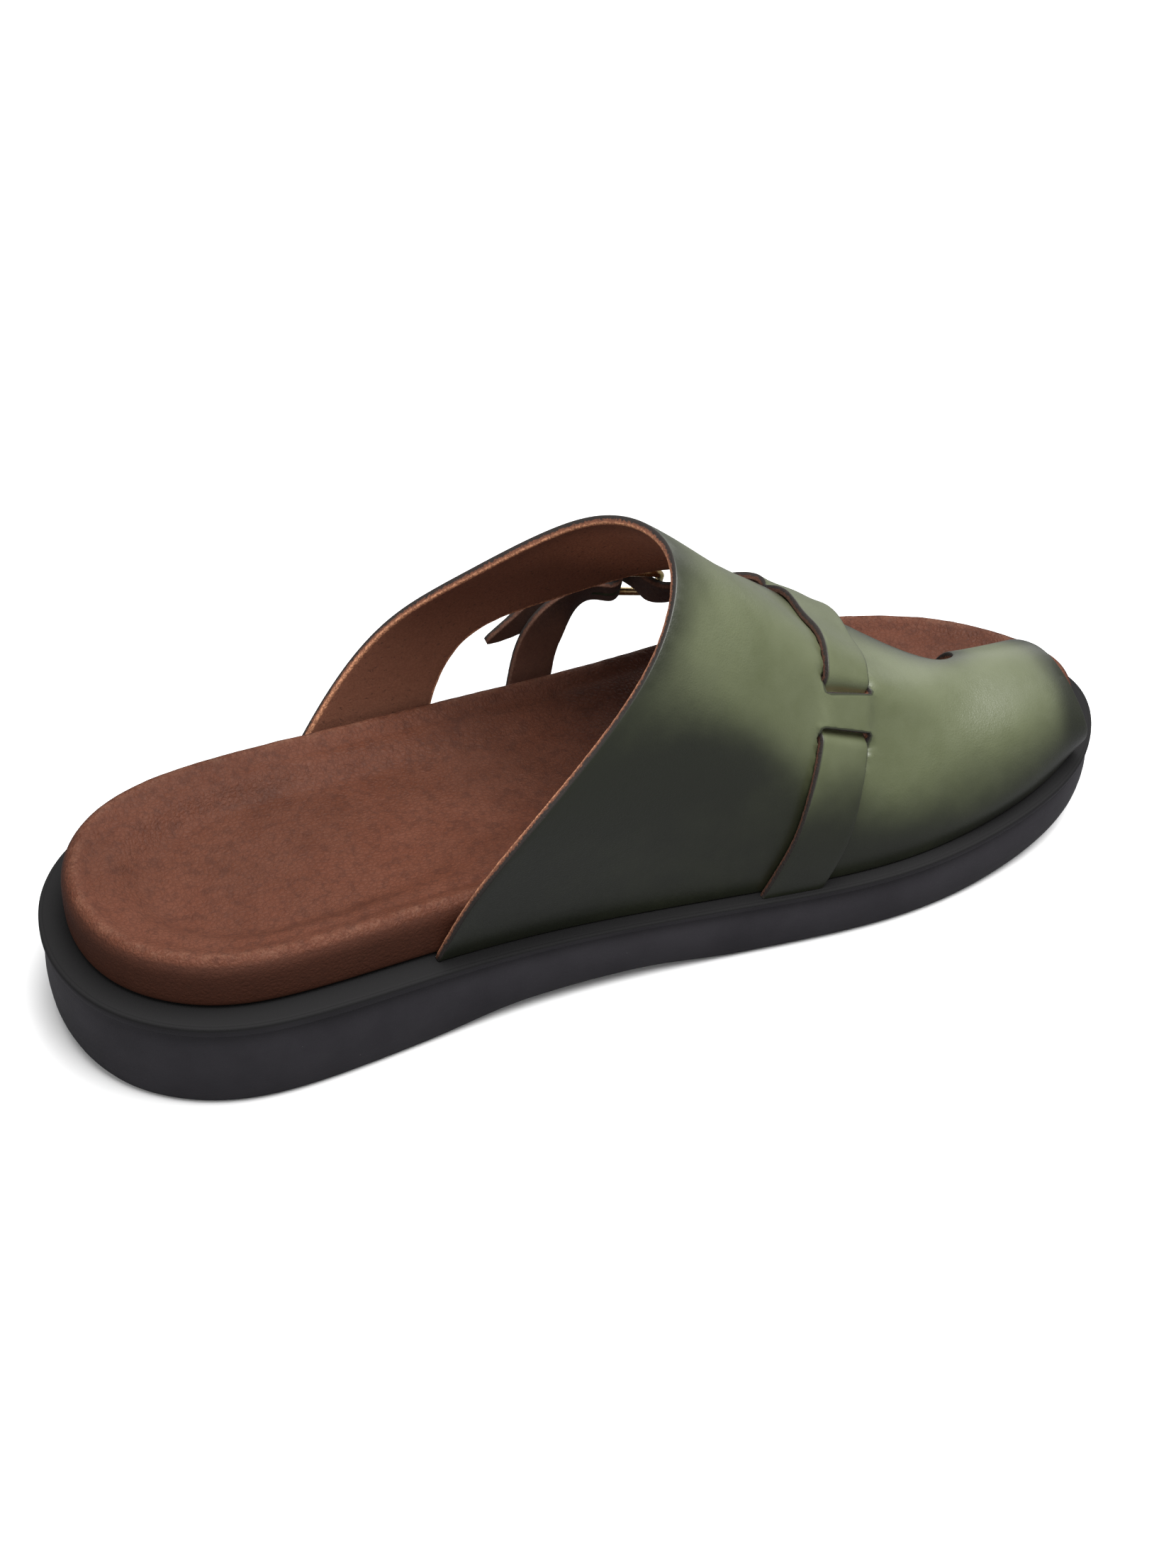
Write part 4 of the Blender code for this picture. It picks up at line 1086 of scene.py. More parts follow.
def strip(place, runs, heights, half_widths, thickness, flat_end, seed):
    """Vertices, faces and marks of a leather strip. Its end at row flat_end is cut level, on the sole."""
    chance = np.random.default_rng(seed)
    columns = []
    depth = []
    edge = []
    for share, past, rise in strip_section():
        flat_half = np.maximum(half_widths - CORNER, 0.12)
        offset = share * flat_half + past * np.minimum(1, half_widths / 1.5)
        if past:
            offset = offset + chance.uniform(-1, 1, len(runs)) * 0.05
        middle = place(runs, offset, heights)
        along = np.gradient(middle, axis=0)
        across = place(runs, offset + 0.4, heights) - place(runs, offset - 0.4, heights)
        normal = unit(np.cross(across, along))
        normal[flat_end, 2] = 0
        normal = unit(normal)
        column = middle + normal * (rise * thickness / 2)
        column[flat_end, 2] = ledge_height(column[flat_end, 1:2])[0] + GAP / 2
        columns.append(column)
        depth.append(np.full(len(runs), (1 - rise) / 2))
        edge.append(np.clip(half_widths - np.abs(offset), 0, None))
    grid = np.stack(columns, axis=1)
    rows, count = grid.shape[:2]
    faces = []
    for r in range(rows - 1):
        for c in range(count):
            a, b = r * count + c, r * count + (c + 1) % count
            faces.append((a, b, b + count, a + count))
    faces.append(tuple(range(count))[::-1])
    faces.append(tuple((rows - 1) * count + c for c in range(count)))
    vertices = grid.reshape(-1, 3)
    # The straps darken towards the ledge: partly burnish, partly painted shade.
    low = np.clip(vertices[:, 2] - ledge_height(vertices[:, 1]), 0, None)
    marks = {"depth": np.stack(depth, axis=1), "edge": np.stack(edge, axis=1),
             "burnish_and_shade": 0.08 + 0.78 * (1 - smoothstep((low - 12.0) / 36.0))}
    return vertices, face_out(vertices, faces), marks


print("a strip's section has", len(strip_section()), "points")

# %% The buckle strap
OVER = GAP + STRAP_LEATHER / 2 + 0.12
UNDER = -(LEATHER + GAP + STRAP_LEATHER / 2 + 0.12)
WRAP_RADIUS = STRAP_LEATHER / 2 + GAP + 0.2 + WIRE / 2
WIRE_HEIGHT = OVER + WRAP_RADIUS
PRONG_RADIUS = WIRE / 2 + GAP + 0.05 + PRONG_WIRE / 2
PASS_LENGTH = 4.4
DIP = 2.0  # where the strap has left the panel and sags towards the buckle
DIP_RUN = 109.0
DIP_REACH = 7.0
TIP_LENGTH = 19.0
#            along  height
THREADING = [(-12.0, 0.00),
             (-8.5, 0.00),
             (-6.0, 0.60),
             (-3.0, 2.90),
             (0.0, 5.30),
             (2.5, 6.95),
             (5.0, 7.85),
             (8.0, 7.85),
             (12.0, 6.80),
             (16.0, 5.60),
             (20.0, 4.20),
             (25.0, 3.00),
             (40.0, 2.80)]


def strap_heights(runs):
    """Height of the strap's middle over the last: on the panel, under the bridge, through the buckle."""
    first, second = (run_at_round(STRAP, around) for around in SLOTS)
    down = smoothstep((runs - first) / PASS_LENGTH + 0.5)
    up = smoothstep((runs - second) / PASS_LENGTH + 0.5)
    along, rise = zip(*THREADING)
    thread = natural_spline(along, rise)(runs - STRAP_LINE[2])[:, 0]
    dipped = DIP * np.exp(-((runs - DIP_RUN) / DIP_REACH) ** 2)
    return OVER + (UNDER - OVER) * (down - up) + give(runs, 0.0, PASS_LENGTH) + thread - dipped


def buckle_strap():
    end = STRAP_LINE[1][-1]
    runs = np.linspace(0.0, end, round(end / 0.75))
    from_tip = (runs[-1] - runs) / TIP_LENGTH
    half = STRAP_WIDTH / 2 * (0.08 + 0.92 * np.clip(from_tip, 0, 1) ** 0.8)
    return strip(strap_points, runs, strap_heights(runs), half, STRAP_LEATHER, 0, seed=21)


vertices, faces, marks = buckle_strap()
strap = build("threaded_strap", vertices, faces, **marks)
print("the strap has", len(strap.data.vertices), "points")

# %% The billet that holds the buckle
FOLD_END = 15.0


def billet_strap():
    """From the folded end over the bar, round it, and down to the ledge."""
    _, run, centre = BILLET_LINE
    fold_height = OVER + STRAP_LEATHER + GAP + 0.1
    folded = [(FOLD_END, fold_height), (FOLD_END - 2.5, fold_height), (FOLD_END - 5.0, fold_height + 0.5),
              (BAR + 3.0, WIRE_HEIGHT + WRAP_RADIUS - 0.4)]
    turns = np.radians(np.arange(75, 271, 7.5))
    wrapped = [(BAR + WRAP_RADIUS * math.cos(a), WIRE_HEIGHT + WRAP_RADIUS * math.sin(a)) for a in turns]
    foot = run[-1] - centre
    down = np.append(np.arange(BAR + 3.0, foot - 1.0, 1.5), foot)
    settle = smoothstep((foot - down) / 24.0)
    under = [(a, OVER * share) for a, share in zip(down, settle)]
    rows = np.array(folded + wrapped + under)
    length = run_of(rows)
    even = np.linspace(0, length[-1], round(length[-1] / 0.6))
    smooth = natural_spline(length, rows)(even)
    along, heights = smooth.T
    half = np.interp(along, (BAR, foot), BILLET_WIDTHS) / 2
    return strip(billet_points, along + centre, heights, half, STRAP_LEATHER, -1, seed=22)


vertices, faces, marks = billet_strap()
billet = build("buckle_billet", vertices, faces, **marks)
print("the billet has", len(billet.data.vertices), "points")

# %% [markdown]
# ## The buckle's metal
#
# The frame is one bent wire with round corners, and the prong a thinner one, curled round the bar. Both
# are tubes swept along a line that lies in a plane. The strap's hole is cut with the prong's own shape, a
# little wider, and the billet's slot with a narrow box round the prong, so that they stay round it.

# %% Wires
def rod(points, radius, closed, sides=20):
    """A round wire along points, all of them in a plane that holds the given way round."""
    points = np.asarray(points, float)
    if closed:
        along = unit(np.roll(points, -1, axis=0) - np.roll(points, 1, axis=0))
    else:
        along = unit(np.gradient(points, axis=0))
    flat_normal = unit(np.cross(along[0], along[len(along) // 3]) + 1e-12)
    across = unit(np.cross(along, flat_normal))
    radius = np.broadcast_to(radius, len(points))
    turns = 2 * math.pi * np.arange(sides) / sides
    vertices = [point + r * (math.cos(turn) * side + math.sin(turn) * flat_normal)
                for point, side, r in zip(points, across, radius) for turn in turns]
    faces = []
    rows = len(points)
    for r in range(rows if closed else rows - 1):
        for k in range(sides):
            a, b = r * sides + k, r * sides + (k + 1) % sides
            c, d = ((r + 1) % rows) * sides + (k + 1) % sides, ((r + 1) % rows) * sides + k
            faces.append((a, b, c, d))
    if not closed:
        faces.append(tuple(range(sides))[::-1])
        faces.append(tuple((rows - 1) * sides + k for k in range(sides)))
    return np.array(vertices), face_out(np.array(vertices), faces)


def frame_line():
    """Middle line of the buckle's frame: a rectangle with round corners."""
    corner = 3.0
    middle = (FREE_SIDE + BAR) / 2
    half_length = (BAR - FREE_SIDE) / 2
    spots = []
    for x, y, start in ((1, 1, 0), (-1, 1, 90), (-1, -1, 180), (1, -1, 270)):
        for turn in range(0, 91, 10):
            angle = math.radians(start + turn)
            spots.append((middle + x * (half_length - corner) + corner * math.cos(angle),
                          y * (FRAME_HALF_WIDTH - corner) + corner * math.sin(angle)))
    along, across = np.array(spots).T
    return in_buckle(along, across, np.full_like(along, WIRE_HEIGHT))


def prong_line():
    """Middle line of the prong: an open eye round the bar, then straight to the free side of the frame."""
    turns = np.radians(np.arange(-150, 91, 8))
    along = list(BAR + PRONG_RADIUS * np.cos(turns)) + list(np.linspace(BAR - 2, FREE_SIDE - 1.2, 9))
    height = list(WIRE_HEIGHT + PRONG_RADIUS * np.sin(turns)) + [WIRE_HEIGHT + PRONG_RADIUS] * 9
    return in_buckle(along, np.zeros(len(along)), height)


def prong_radius(points):
    """The prong thins to a blunt tip."""
    from_tip = run_of(points)[-1] - run_of(points)
    return PRONG_WIRE / 2 * (0.62 + 0.38 * smoothstep(from_tip / 4.0))


line = prong_line()
buckle = build("buckle_wire_frame", *rod(frame_line(), WIRE / 2, True))
prong = build("buckle_wire_prong", *rod(line, prong_radius(line), False))
hole_points, hole_faces = rod(line, PRONG_WIRE / 2 + GAP + 0.05, False)
hole_marks = {"depth": np.full(len(hole_points), 0.6), "edge": np.zeros(len(hole_points)),
              "burnish_and_shade": np.zeros(len(hole_points))}
cut_and_keep(strap, build("prong_hole", hole_points, hole_faces, **hole_marks))
print("the buckle's frame and prong are in place")

# %% The billet's slot for the prong
half = PRONG_WIRE / 2 + 0.5
near = [(BAR - 5, -half), (BAR - 5, half), (BAR + 4.4, half), (BAR + 4.4, -half)]
bar_corners = np.array([in_buckle(along, across, height) for height in (WIRE_HEIGHT + 6.0, -2.0)
                        for along, across in near])
bar_faces = [(0, 3, 2, 1), (4, 5, 6, 7), (0, 1, 5, 4), (1, 2, 6, 5), (2, 3, 7, 6), (3, 0, 4, 7)]
slot_marks = {"depth": np.full(8, 0.6), "edge": np.zeros(8), "burnish_and_shade": np.zeros(8)}
cut_and_keep(billet, build("prong_slot", bar_corners, face_out(bar_corners, bar_faces), **slot_marks))
stand_for(strap, "buckle_strap")
stand_for(billet, "billet_strap")
stand_for(buckle, "buckle_frame")
stand_for(prong, "buckle_prong")
print("every piece now has its finer stand-in")

# %% [markdown]
# ## Finishes, and the small effects they share
#
# Four finishes cover the shoe: green leather with its raw side and cut edge, the footbed's pebbled
# leather, moulded rubber, and brass. They share a few effects, each built once as a node group with named
# inputs: a pebbled grain, a slow cloudy tone, raw fibres, and specks of dust. The groups work in the
# shoe's own space, so a pebble has its real size in millimetres on every piece.

# %% Helpers for node trees
def join(tree, *pairs):
    """Links outputs to inputs, given as pairs."""
    for source, target in pairs:
        tree.links.new(source, target)


def math_node(tree, operation, first, second=None, clamp=False):
    """A maths node on two inputs, each a socket or a number."""
    made = tree.nodes.new("ShaderNodeMath")
    made.operation = operation
    made.use_clamp = clamp
    for place, value in enumerate((first, second)):
        if value is None:
            continue
        if isinstance(value, (int, float)):
            made.inputs[place].default_value = value
        else:
            tree.links.new(value, made.inputs[place])
    return made.outputs[0]


def times(tree, first, second):
    return math_node(tree, "MULTIPLY", first, second)


def plus(tree, first, second):
    return math_node(tree, "ADD", first, second)


def minus(tree, first, second):
    return math_node(tree, "SUBTRACT", first, second)


def between(tree, value, low, high, start=0.0, end=1.0):
    """A smooth rise from start to end while value goes from low to high."""
    made = tree.nodes.new("ShaderNodeMapRange")
    made.interpolation_type = "SMOOTHSTEP"
    for name, number in (("From Min", low), ("From Max", high), ("To Min", start), ("To Max", end)):
        made.inputs[name].default_value = number
    tree.links.new(value, made.inputs["Value"])
    return made.outputs["Result"]


def blend_colour(tree, share, first, second, kind="MIX"):
    """A colour between two, each a socket or a plain colour."""
    made = tree.nodes.new("ShaderNodeMix")
    made.data_type = "RGBA"
    made.blend_type = kind
    if isinstance(share, (int, float)):
        made.inputs["Factor"].default_value = share
    else:
        tree.links.new(share, made.inputs["Factor"])
    for place, value in ((6, first), (7, second)):
        if isinstance(value, tuple):
            made.inputs[place].default_value = (*value, 1.0)
        else:
            tree.links.new(value, made.inputs[place])
    return made.outputs[2]


def blend_value(tree, share, first, second):
    """A number between two, each a socket or a plain number."""
    made = tree.nodes.new("ShaderNodeMix")
    made.data_type = "FLOAT"
    tree.links.new(share, made.inputs[0])
    for place, value in ((2, first), (3, second)):
        if isinstance(value, (int, float)):
            made.inputs[place].default_value = value
        else:
            tree.links.new(value, made.inputs[place])
    return made.outputs[0]


def new_group(name, inputs, outputs):
    """An empty shader node group with number inputs, given with their usual values, and number outputs."""
    tree = bpy.data.node_groups.new(name, "ShaderNodeTree")
    for label, value in inputs.items():
        socket = tree.interface.new_socket(label, in_out="INPUT", socket_type="NodeSocketFloat")
        socket.default_value = value
    for label in outputs:
        tree.interface.new_socket(label, in_out="OUTPUT", socket_type="NodeSocketFloat")
    return tree, tree.nodes.new("NodeGroupInput").outputs, tree.nodes.new("NodeGroupOutput").inputs


def place_group(tree, group, **values):
    """Places a group in a tree with its own values, and gives its outputs."""
    made = tree.nodes.new("ShaderNodeGroup")
    made.node_tree = group
    for key, value in values.items():
        made.inputs[key.replace("_", " ").capitalize()].default_value = value
    return made.outputs


def scaled_place(tree, size):
    """The shoe's own coordinates, with one unit for each size in millimetres."""
    place = tree.nodes.new("ShaderNodeTexCoord").outputs["Object"]
    scale = math_node(tree, "DIVIDE", 1000.0, size)
    made = tree.nodes.new("ShaderNodeVectorMath")
    made.operation = "SCALE"
    tree.links.new(place, made.inputs[0])
    tree.links.new(scale, made.inputs["Scale"])
    return made.outputs[0]


def noise_at(tree, place, detail, roughness=0.5, scale=1.0):
    made = tree.nodes.new("ShaderNodeTexNoise")
    made.inputs["Scale"].default_value = scale
    made.inputs["Detail"].default_value = detail
    made.inputs["Roughness"].default_value = roughness
    tree.links.new(place, made.inputs["Vector"])
    return made.outputs["Fac"]


print("helpers for node trees are ready")

# %% [markdown]
# ### Pebbled grain
#
# Leather's grain is a net of fine creases round small plump cells. A Voronoi texture's distance to the
# nearest cell edge draws that net. Its coordinates are stirred first, because straight cell walls look
# like cut glass, and a second, finer net inside the first breaks up the larger cells.

# %% Group: pebbled grain
def pebbled_grain():
    tree, given, made = new_group("pebbled grain", {"Size": 1.2, "Stir": 0.35}, ("Height", "Crease"))
    place = scaled_place(tree, given["Size"])
    stirring = tree.nodes.new("ShaderNodeTexNoise")
    stirring.inputs["Scale"].default_value = 0.9
    stirring.inputs["Detail"].default_value = 2.0
    stirred = tree.nodes.new("ShaderNodeVectorMath")
    stirred.operation = "MULTIPLY_ADD"
    spread = tree.nodes.new("ShaderNodeCombineXYZ")
    for axis in range(3):
        tree.links.new(given["Stir"], spread.inputs[axis])
    join(tree, (place, stirring.inputs["Vector"]), (stirring.outputs["Color"], stirred.inputs[0]),
         (spread.outputs[0], stirred.inputs[1]), (place, stirred.inputs[2]))
    nets = []
    for scale in (1.0, 2.3):
        net = tree.nodes.new("ShaderNodeTexVoronoi")
        net.feature = "DISTANCE_TO_EDGE"
        net.inputs["Scale"].default_value = scale
        net.inputs["Randomness"].default_value = 0.9
        tree.links.new(stirred.outputs[0], net.inputs["Vector"])
        nets.append(net.outputs["Distance"])
    broad = between(tree, nets[0], 0.0, 0.42)
    fine = between(tree, nets[1], 0.0, 0.36)
    tooth = noise_at(tree, place, 3.0, 0.6, 5.0)
    height = plus(tree, times(tree, broad, 0.62), times(tree, fine, 0.26))
    height = plus(tree, height, times(tree, tooth, 0.16))
    crease = minus(tree, 1.0, between(tree, nets[0], 0.0, 0.13))
    join(tree, (height, made["Height"]), (crease, made["Crease"]))
    return tree


PEBBLED_GRAIN = pebbled_grain()
print("made the group", PEBBLED_GRAIN.name)

# %% [markdown]
# ### Cloudy tone, raw fibres and dust
#
# No hide is one colour: dye soaks in unevenly, in clouds from a thumb's width to a hand's. The flesh side
# is a felt of torn fibres with small dark pits. Dust is a scatter of tiny pale points. Each is a noise or
# a Voronoi texture with one or two thresholds, and gives a number between 0 and 1.

# %% Groups: cloudy tone, raw fibres, specks
def cloudy_tone():
    tree, given, made = new_group("cloudy tone", {"Size": 30.0}, ("Tone",))
    place = scaled_place(tree, given["Size"])
    join(tree, (between(tree, noise_at(tree, place, 4.0, 0.55), 0.3, 0.7), made["Tone"]))
    return tree


def raw_fibres():
    tree, given, made = new_group("raw fibres", {"Size": 1.0}, ("Height", "Pale", "Pit"))
    place = scaled_place(tree, given["Size"])
    felt = noise_at(tree, place, 6.0, 0.72, 1.6)
    coarse = noise_at(tree, place, 2.0, 0.5, 0.35)
    pit = between(tree, noise_at(tree, place, 2.0, 0.6, 0.9), 0.62, 0.72)
    height = plus(tree, times(tree, felt, 0.8), times(tree, coarse, 0.5))
    height = minus(tree, height, times(tree, pit, 0.35))
    join(tree, (height, made["Height"]), (between(tree, felt, 0.42, 0.62), made["Pale"]), (pit, made["Pit"]))
    return tree


def specks():
    tree, given, made = new_group("specks", {"Size": 6.0, "Width": 0.03}, ("Mask",))
    dots = tree.nodes.new("ShaderNodeTexVoronoi")
    dots.inputs["Scale"].default_value = 1.0
    tree.links.new(scaled_place(tree, given["Size"]), dots.inputs["Vector"])
    chosen = tree.nodes.new("ShaderNodeSeparateColor")
    tree.links.new(dots.outputs["Color"], chosen.inputs[0])
    close = math_node(tree, "LESS_THAN", dots.outputs["Distance"], given["Width"])
    some = math_node(tree, "GREATER_THAN", chosen.outputs[0], 0.6)
    join(tree, (times(tree, close, some), made["Mask"]))
    return tree


CLOUDY_TONE = cloudy_tone()
RAW_FIBRES = raw_fibres()
SPECKS = specks()
print("made the groups", CLOUDY_TONE.name, RAW_FIBRES.name, SPECKS.name)

# %% [markdown]
# ### Zones of a cut hide
#
# The panel and both straps are the same thick hide, so one group turns the numbers kept at each point
# into masks: the flesh side, the cut edge, its dyed outer line, and the pale fibres that stand at the
# inner corner. A little noise on the distances keeps every border between the zones uneven.

# %% Group: zones of a cut hide
def mark_value(tree, name):
    made = tree.nodes.new("ShaderNodeAttribute")
    made.attribute_name = name
    return made.outputs["Fac"]


def hide_zones():
    masks = ("Flesh", "Cut", "Dyed", "Fringe", "Burnish_and_shade")
    tree, given, made = new_group("hide zones", {"Unevenness": 1.0}, masks)
    place = scaled_place(tree, 1.4)
    ragged = minus(tree, noise_at(tree, place, 4.0, 0.65, 1.7), 0.5)
    ragged = times(tree, ragged, given["Unevenness"])
    depth = mark_value(tree, "depth")
    edge = mark_value(tree, "edge")
    flesh = between(tree, plus(tree, depth, times(tree, ragged, 0.25)), 0.80, 0.97)
    off_face = between(tree, depth, 0.015, 0.07)
    dyed_to = plus(tree, depth, times(tree, ragged, 0.9))
    dyed = minus(tree, 1.0, between(tree, dyed_to, 0.38, 0.62))
    lip = minus(tree, 1.0, between(tree, edge, 0.15, 0.75))
    from_edge = plus(tree, edge, times(tree, ragged, 1.5))
    fringe = minus(tree, 1.0, between(tree, from_edge, 0.05, 0.62))
    fringe = times(tree, fringe, between(tree, depth, 0.62, 0.88))
    # The burnish number carries painted shade as well as real burnish; clouds make it uneven.
    clouds = noise_at(tree, scaled_place(tree, 16.0), 3.0, 0.55)
    burnish_and_shade = plus(tree, mark_value(tree, "burnish_and_shade"), times(tree, minus(tree, clouds, 0.5), 0.35))
    burnish_and_shade = math_node(tree, "MAXIMUM", between(tree, burnish_and_shade, 0.08, 0.95), times(tree, lip, 0.75))
    join(tree, (flesh, made["Flesh"]), (off_face, made["Cut"]), (dyed, made["Dyed"]),
         (fringe, made["Fringe"]), (burnish_and_shade, made["Burnish_and_shade"]))
    return tree


HIDE_ZONES = hide_zones()
print("made the group", HIDE_ZONES.name)

# %% [markdown]
# ### Green leather
#
# A smooth, waxed grain over a vegetable-tanned hide: sage where it is thin and rubbed, nearly black where
# it is burnished and where shade is painted on, low on the side and behind the rear edge, brown fibre
# wherever it was cut. One Principled shader shows all three sides, because they share the same mesh, and
# the masks choose between their colours, roughness and relief. A thin coat gives the wax its soft second
# highlight.

# %% Material: green leather
SAGE = (0.104, 0.118, 0.061)
DEEP_GREEN = (0.079, 0.091, 0.043)
# Near-black green of burnish, used also as painted shade.
BURNT_AND_SHADED_GREEN = (0.0105, 0.0125, 0.0060)
EDGE_DYE = (0.022, 0.017, 0.015)
RUBBED_GREEN = (0.116, 0.130, 0.076)
PIT_BROWN = (0.030, 0.012, 0.008)
FLESH_DARK = (0.300, 0.112, 0.060)
FLESH_PALE = (0.430, 0.180, 0.100)
FLESH_SHADED = (0.100, 0.036, 0.020)
FRINGE_TINT = (0.60, 0.28, 0.15)
# The straps' flesh side and cut edge are far darker than the panel's: partly a darker dye, partly painted
# shade under and beside the straps.
SHADED_STRAP_FLESH_DARK = (0.040, 0.018, 0.012)
SHADED_STRAP_FLESH_PALE = (0.080, 0.038, 0.024)
SHADED_STRAP_FRINGE_TINT = (0.13, 0.065, 0.042)


def new_finish(name, viewport):
    """A material with a bare Principled shader."""
    material = bpy.data.materials.new(name)
    material.use_nodes = True
    material.diffuse_color = (*viewport, 1.0)
    tree = material.node_tree
    return material, tree, tree.nodes["Principled BSDF"]


def relief(tree, shader, height, distance, strength=1.0, under=None):
    """Feeds a height in millimetres of relief to the shader's normal."""
    made = tree.nodes.new("ShaderNodeBump")
    made.inputs["Strength"].default_value = strength
    made.inputs["Distance"].default_value = distance * MILLIMETRE
    tree.links.new(height, made.inputs["Height"])
    if under is not None:
        tree.links.new(under, made.inputs["Normal"])
    tree.links.new(made.outputs["Normal"], shader.inputs["Normal"])
    return made.outputs["Normal"]


def green_leather(name, grain_size, flesh_dark, flesh_pale, fringe_tint):
    material, tree, shader = new_finish(name, SAGE)
    zones = place_group(tree, HIDE_ZONES, unevenness=1.0)
    grain = place_group(tree, PEBBLED_GRAIN, size=grain_size, stir=0.5)
    fibres = place_group(tree, RAW_FIBRES, size=0.9)
    slow = place_group(tree, CLOUDY_TONE, size=34.0)
    quick = place_group(tree, CLOUDY_TONE, size=5.0)
    face = blend_colour(tree, slow["Tone"], DEEP_GREEN, SAGE)
    face = blend_colour(tree, times(tree, quick["Tone"], 0.18), face, RUBBED_GREEN)
    # Burnish and painted shade darken the face towards near black.
    face = blend_colour(tree, zones["Burnish_and_shade"], face, BURNT_AND_SHADED_GREEN)
    flesh = blend_colour(tree, fibres["Pale"], flesh_dark, flesh_pale)
    flesh = blend_colour(tree, times(tree, fibres["Pit"], 0.75), flesh, PIT_BROWN)
    # Painted shade on the flesh side, where the burnish-and-shade number is high.
    flesh = blend_colour(tree, times(tree, zones["Burnish_and_shade"], 0.75), flesh, FLESH_SHADED)
    cut = blend_colour(tree, zones["Dyed"], flesh, EDGE_DYE)
    raw = blend_colour(tree, zones["Flesh"], cut, flesh)
    colour = blend_colour(tree, zones["Cut"], face, raw)
    fringe = times(tree, zones["Fringe"], between(tree, fibres["Pale"], 0.0, 0.8, 0.25, 1.0))
    colour = blend_colour(tree, fringe, colour, fringe_tint)
    gloss = blend_value(tree, slow["Tone"], 0.36, 0.46)
    gloss = blend_value(tree, zones["Burnish_and_shade"], gloss, 0.34)
    gloss = plus(tree, gloss, times(tree, grain["Crease"], 0.08))
    join(tree, (colour, shader.inputs["Base Color"]),
         (blend_value(tree, zones["Cut"], gloss, 0.88), shader.inputs["Roughness"]),
         (blend_value(tree, zones["Cut"], 0.55, 0.0), shader.inputs["Coat Weight"]))
    shader.inputs["Specular IOR Level"].default_value = 0.35
    shader.inputs["Coat Roughness"].default_value = 0.38
    ripples = noise_at(tree, scaled_place(tree, 2.4), 4.0, 0.6)
    worked = noise_at(tree, scaled_place(tree, 28.0), 2.0)
    smooth = plus(tree, times(tree, grain["Height"], 0.30), ripples)
    smooth = times(tree, smooth, between(tree, worked, 0.40, 0.62, 0.18, 0.50))
    height = blend_value(tree, zones["Cut"], smooth, fibres["Height"])
    relief(tree, shader, height, 0.28)
    return material


PANEL_LEATHER = green_leather("green leather of the panel", 0.8, FLESH_DARK, FLESH_PALE, FRINGE_TINT)
STRAP_FINISH = green_leather("green leather of the straps", 0.7,
                             SHADED_STRAP_FLESH_DARK, SHADED_STRAP_FLESH_PALE, SHADED_STRAP_FRINGE_TINT)
upper.data.materials.append(PANEL_LEATHER)
for piece in (strap, billet):
    piece.data.materials.clear()
    piece.data.materials.append(STRAP_FINISH)
print("the panel and both straps wear green leather")

# %% [markdown]
# ### The footbed's leather
#
# A soft, reddish brown hide with a plain pebble. Its creases hold darker dye and the plump tops shine a
# little. The wall is stretched smoother, and painted darker as shade. The turned rim is painted pale where
# the wrapping puckers: partly scuffs, partly a painted highlight along its crest.

# %% Material: footbed leather
CHESTNUT = (0.099, 0.0330, 0.0185)
UMBER = (0.068, 0.0225, 0.0120)
CREASE_BROWN = (0.034, 0.013, 0.009)
SCUFF_AND_HIGHLIGHT = (0.27, 0.145, 0.095)
WARM_BROWN = (0.125, 0.050, 0.031)
SHADED_WALL_BROWN = (0.046, 0.0175, 0.011)
PALE_DUST = (0.55, 0.48, 0.42)


def footbed_leather():
    material, tree, shader = new_finish("footbed leather", CHESTNUT)
    rim = mark_value(tree, "rim")
    side = mark_value(tree, "side")
    grain = place_group(tree, PEBBLED_GRAIN, size=1.3, stir=0.6)
    slow = place_group(tree, CLOUDY_TONE, size=45.0)
    quick = place_group(tree, CLOUDY_TONE, size=7.0)
    fibres = place_group(tree, RAW_FIBRES, size=1.1)
    dust = place_group(tree, SPECKS, size=9.0, width=0.018)
    colour = blend_colour(tree, slow["Tone"], UMBER, CHESTNUT)
    colour = blend_colour(tree, times(tree, quick["Tone"], 0.25), colour, WARM_BROWN)
    colour = blend_colour(tree, times(tree, grain["Crease"], 0.30), colour, CREASE_BROWN)
    clumps = between(tree, noise_at(tree, scaled_place(tree, 2.6), 3.0, 0.6), 0.46, 0.66)
    colour = blend_colour(tree, times(tree, clumps, 0.34), colour, CREASE_BROWN)
    # Painted shade: the footbed's wall is darkened.
    colour = blend_colour(tree, times(tree, side, 0.75), colour, SHADED_WALL_BROWN)
    # Pale along the rim's crest: partly scuffs, partly a painted highlight.
    scuff_and_highlight = times(tree, rim, between(tree, fibres["Height"], 0.55, 0.80))
    colour = blend_colour(tree, times(tree, scuff_and_highlight, 0.22), colour, SCUFF_AND_HIGHLIGHT)
    colour = blend_colour(tree, times(tree, dust["Mask"], 0.7), colour, PALE_DUST)
    gloss = blend_value(tree, slow["Tone"], 0.46, 0.56)
    gloss = plus(tree, gloss, times(tree, grain["Crease"], 0.15))
    join(tree, (colour, shader.inputs["Base Color"]), (gloss, shader.inputs["Roughness"]))
    shader.inputs["Specular IOR Level"].default_value = 0.10
    height = times(tree, grain["Height"], blend_value(tree, side, 1.0, 0.5))
    wrinkled = times(tree, rim, fibres["Height"])
    height = plus(tree, height, times(tree, wrinkled, 0.9))
    relief(tree, shader, height, 0.19)
    return material


footbed.data.materials.append(footbed_leather())
print("the footbed wears pebbled leather")

# %% [markdown]
# ### Moulded rubber
#
# The mould leaves the ledge matte and darkest, with a fine tooth, and the side wall satin and a shade
# greyer, with faint drawn streaks along it. On something nearly black, what shows most is how rough it
# is.

# %% Material: moulded rubber
RUBBER_DARK = (0.0215, 0.0195, 0.0235)
RUBBER_PALE = (0.0325, 0.0300, 0.0350)
RUBBER_LEDGE = (0.0048, 0.0045, 0.0048)
GREY_DUST = (0.25, 0.24, 0.23)


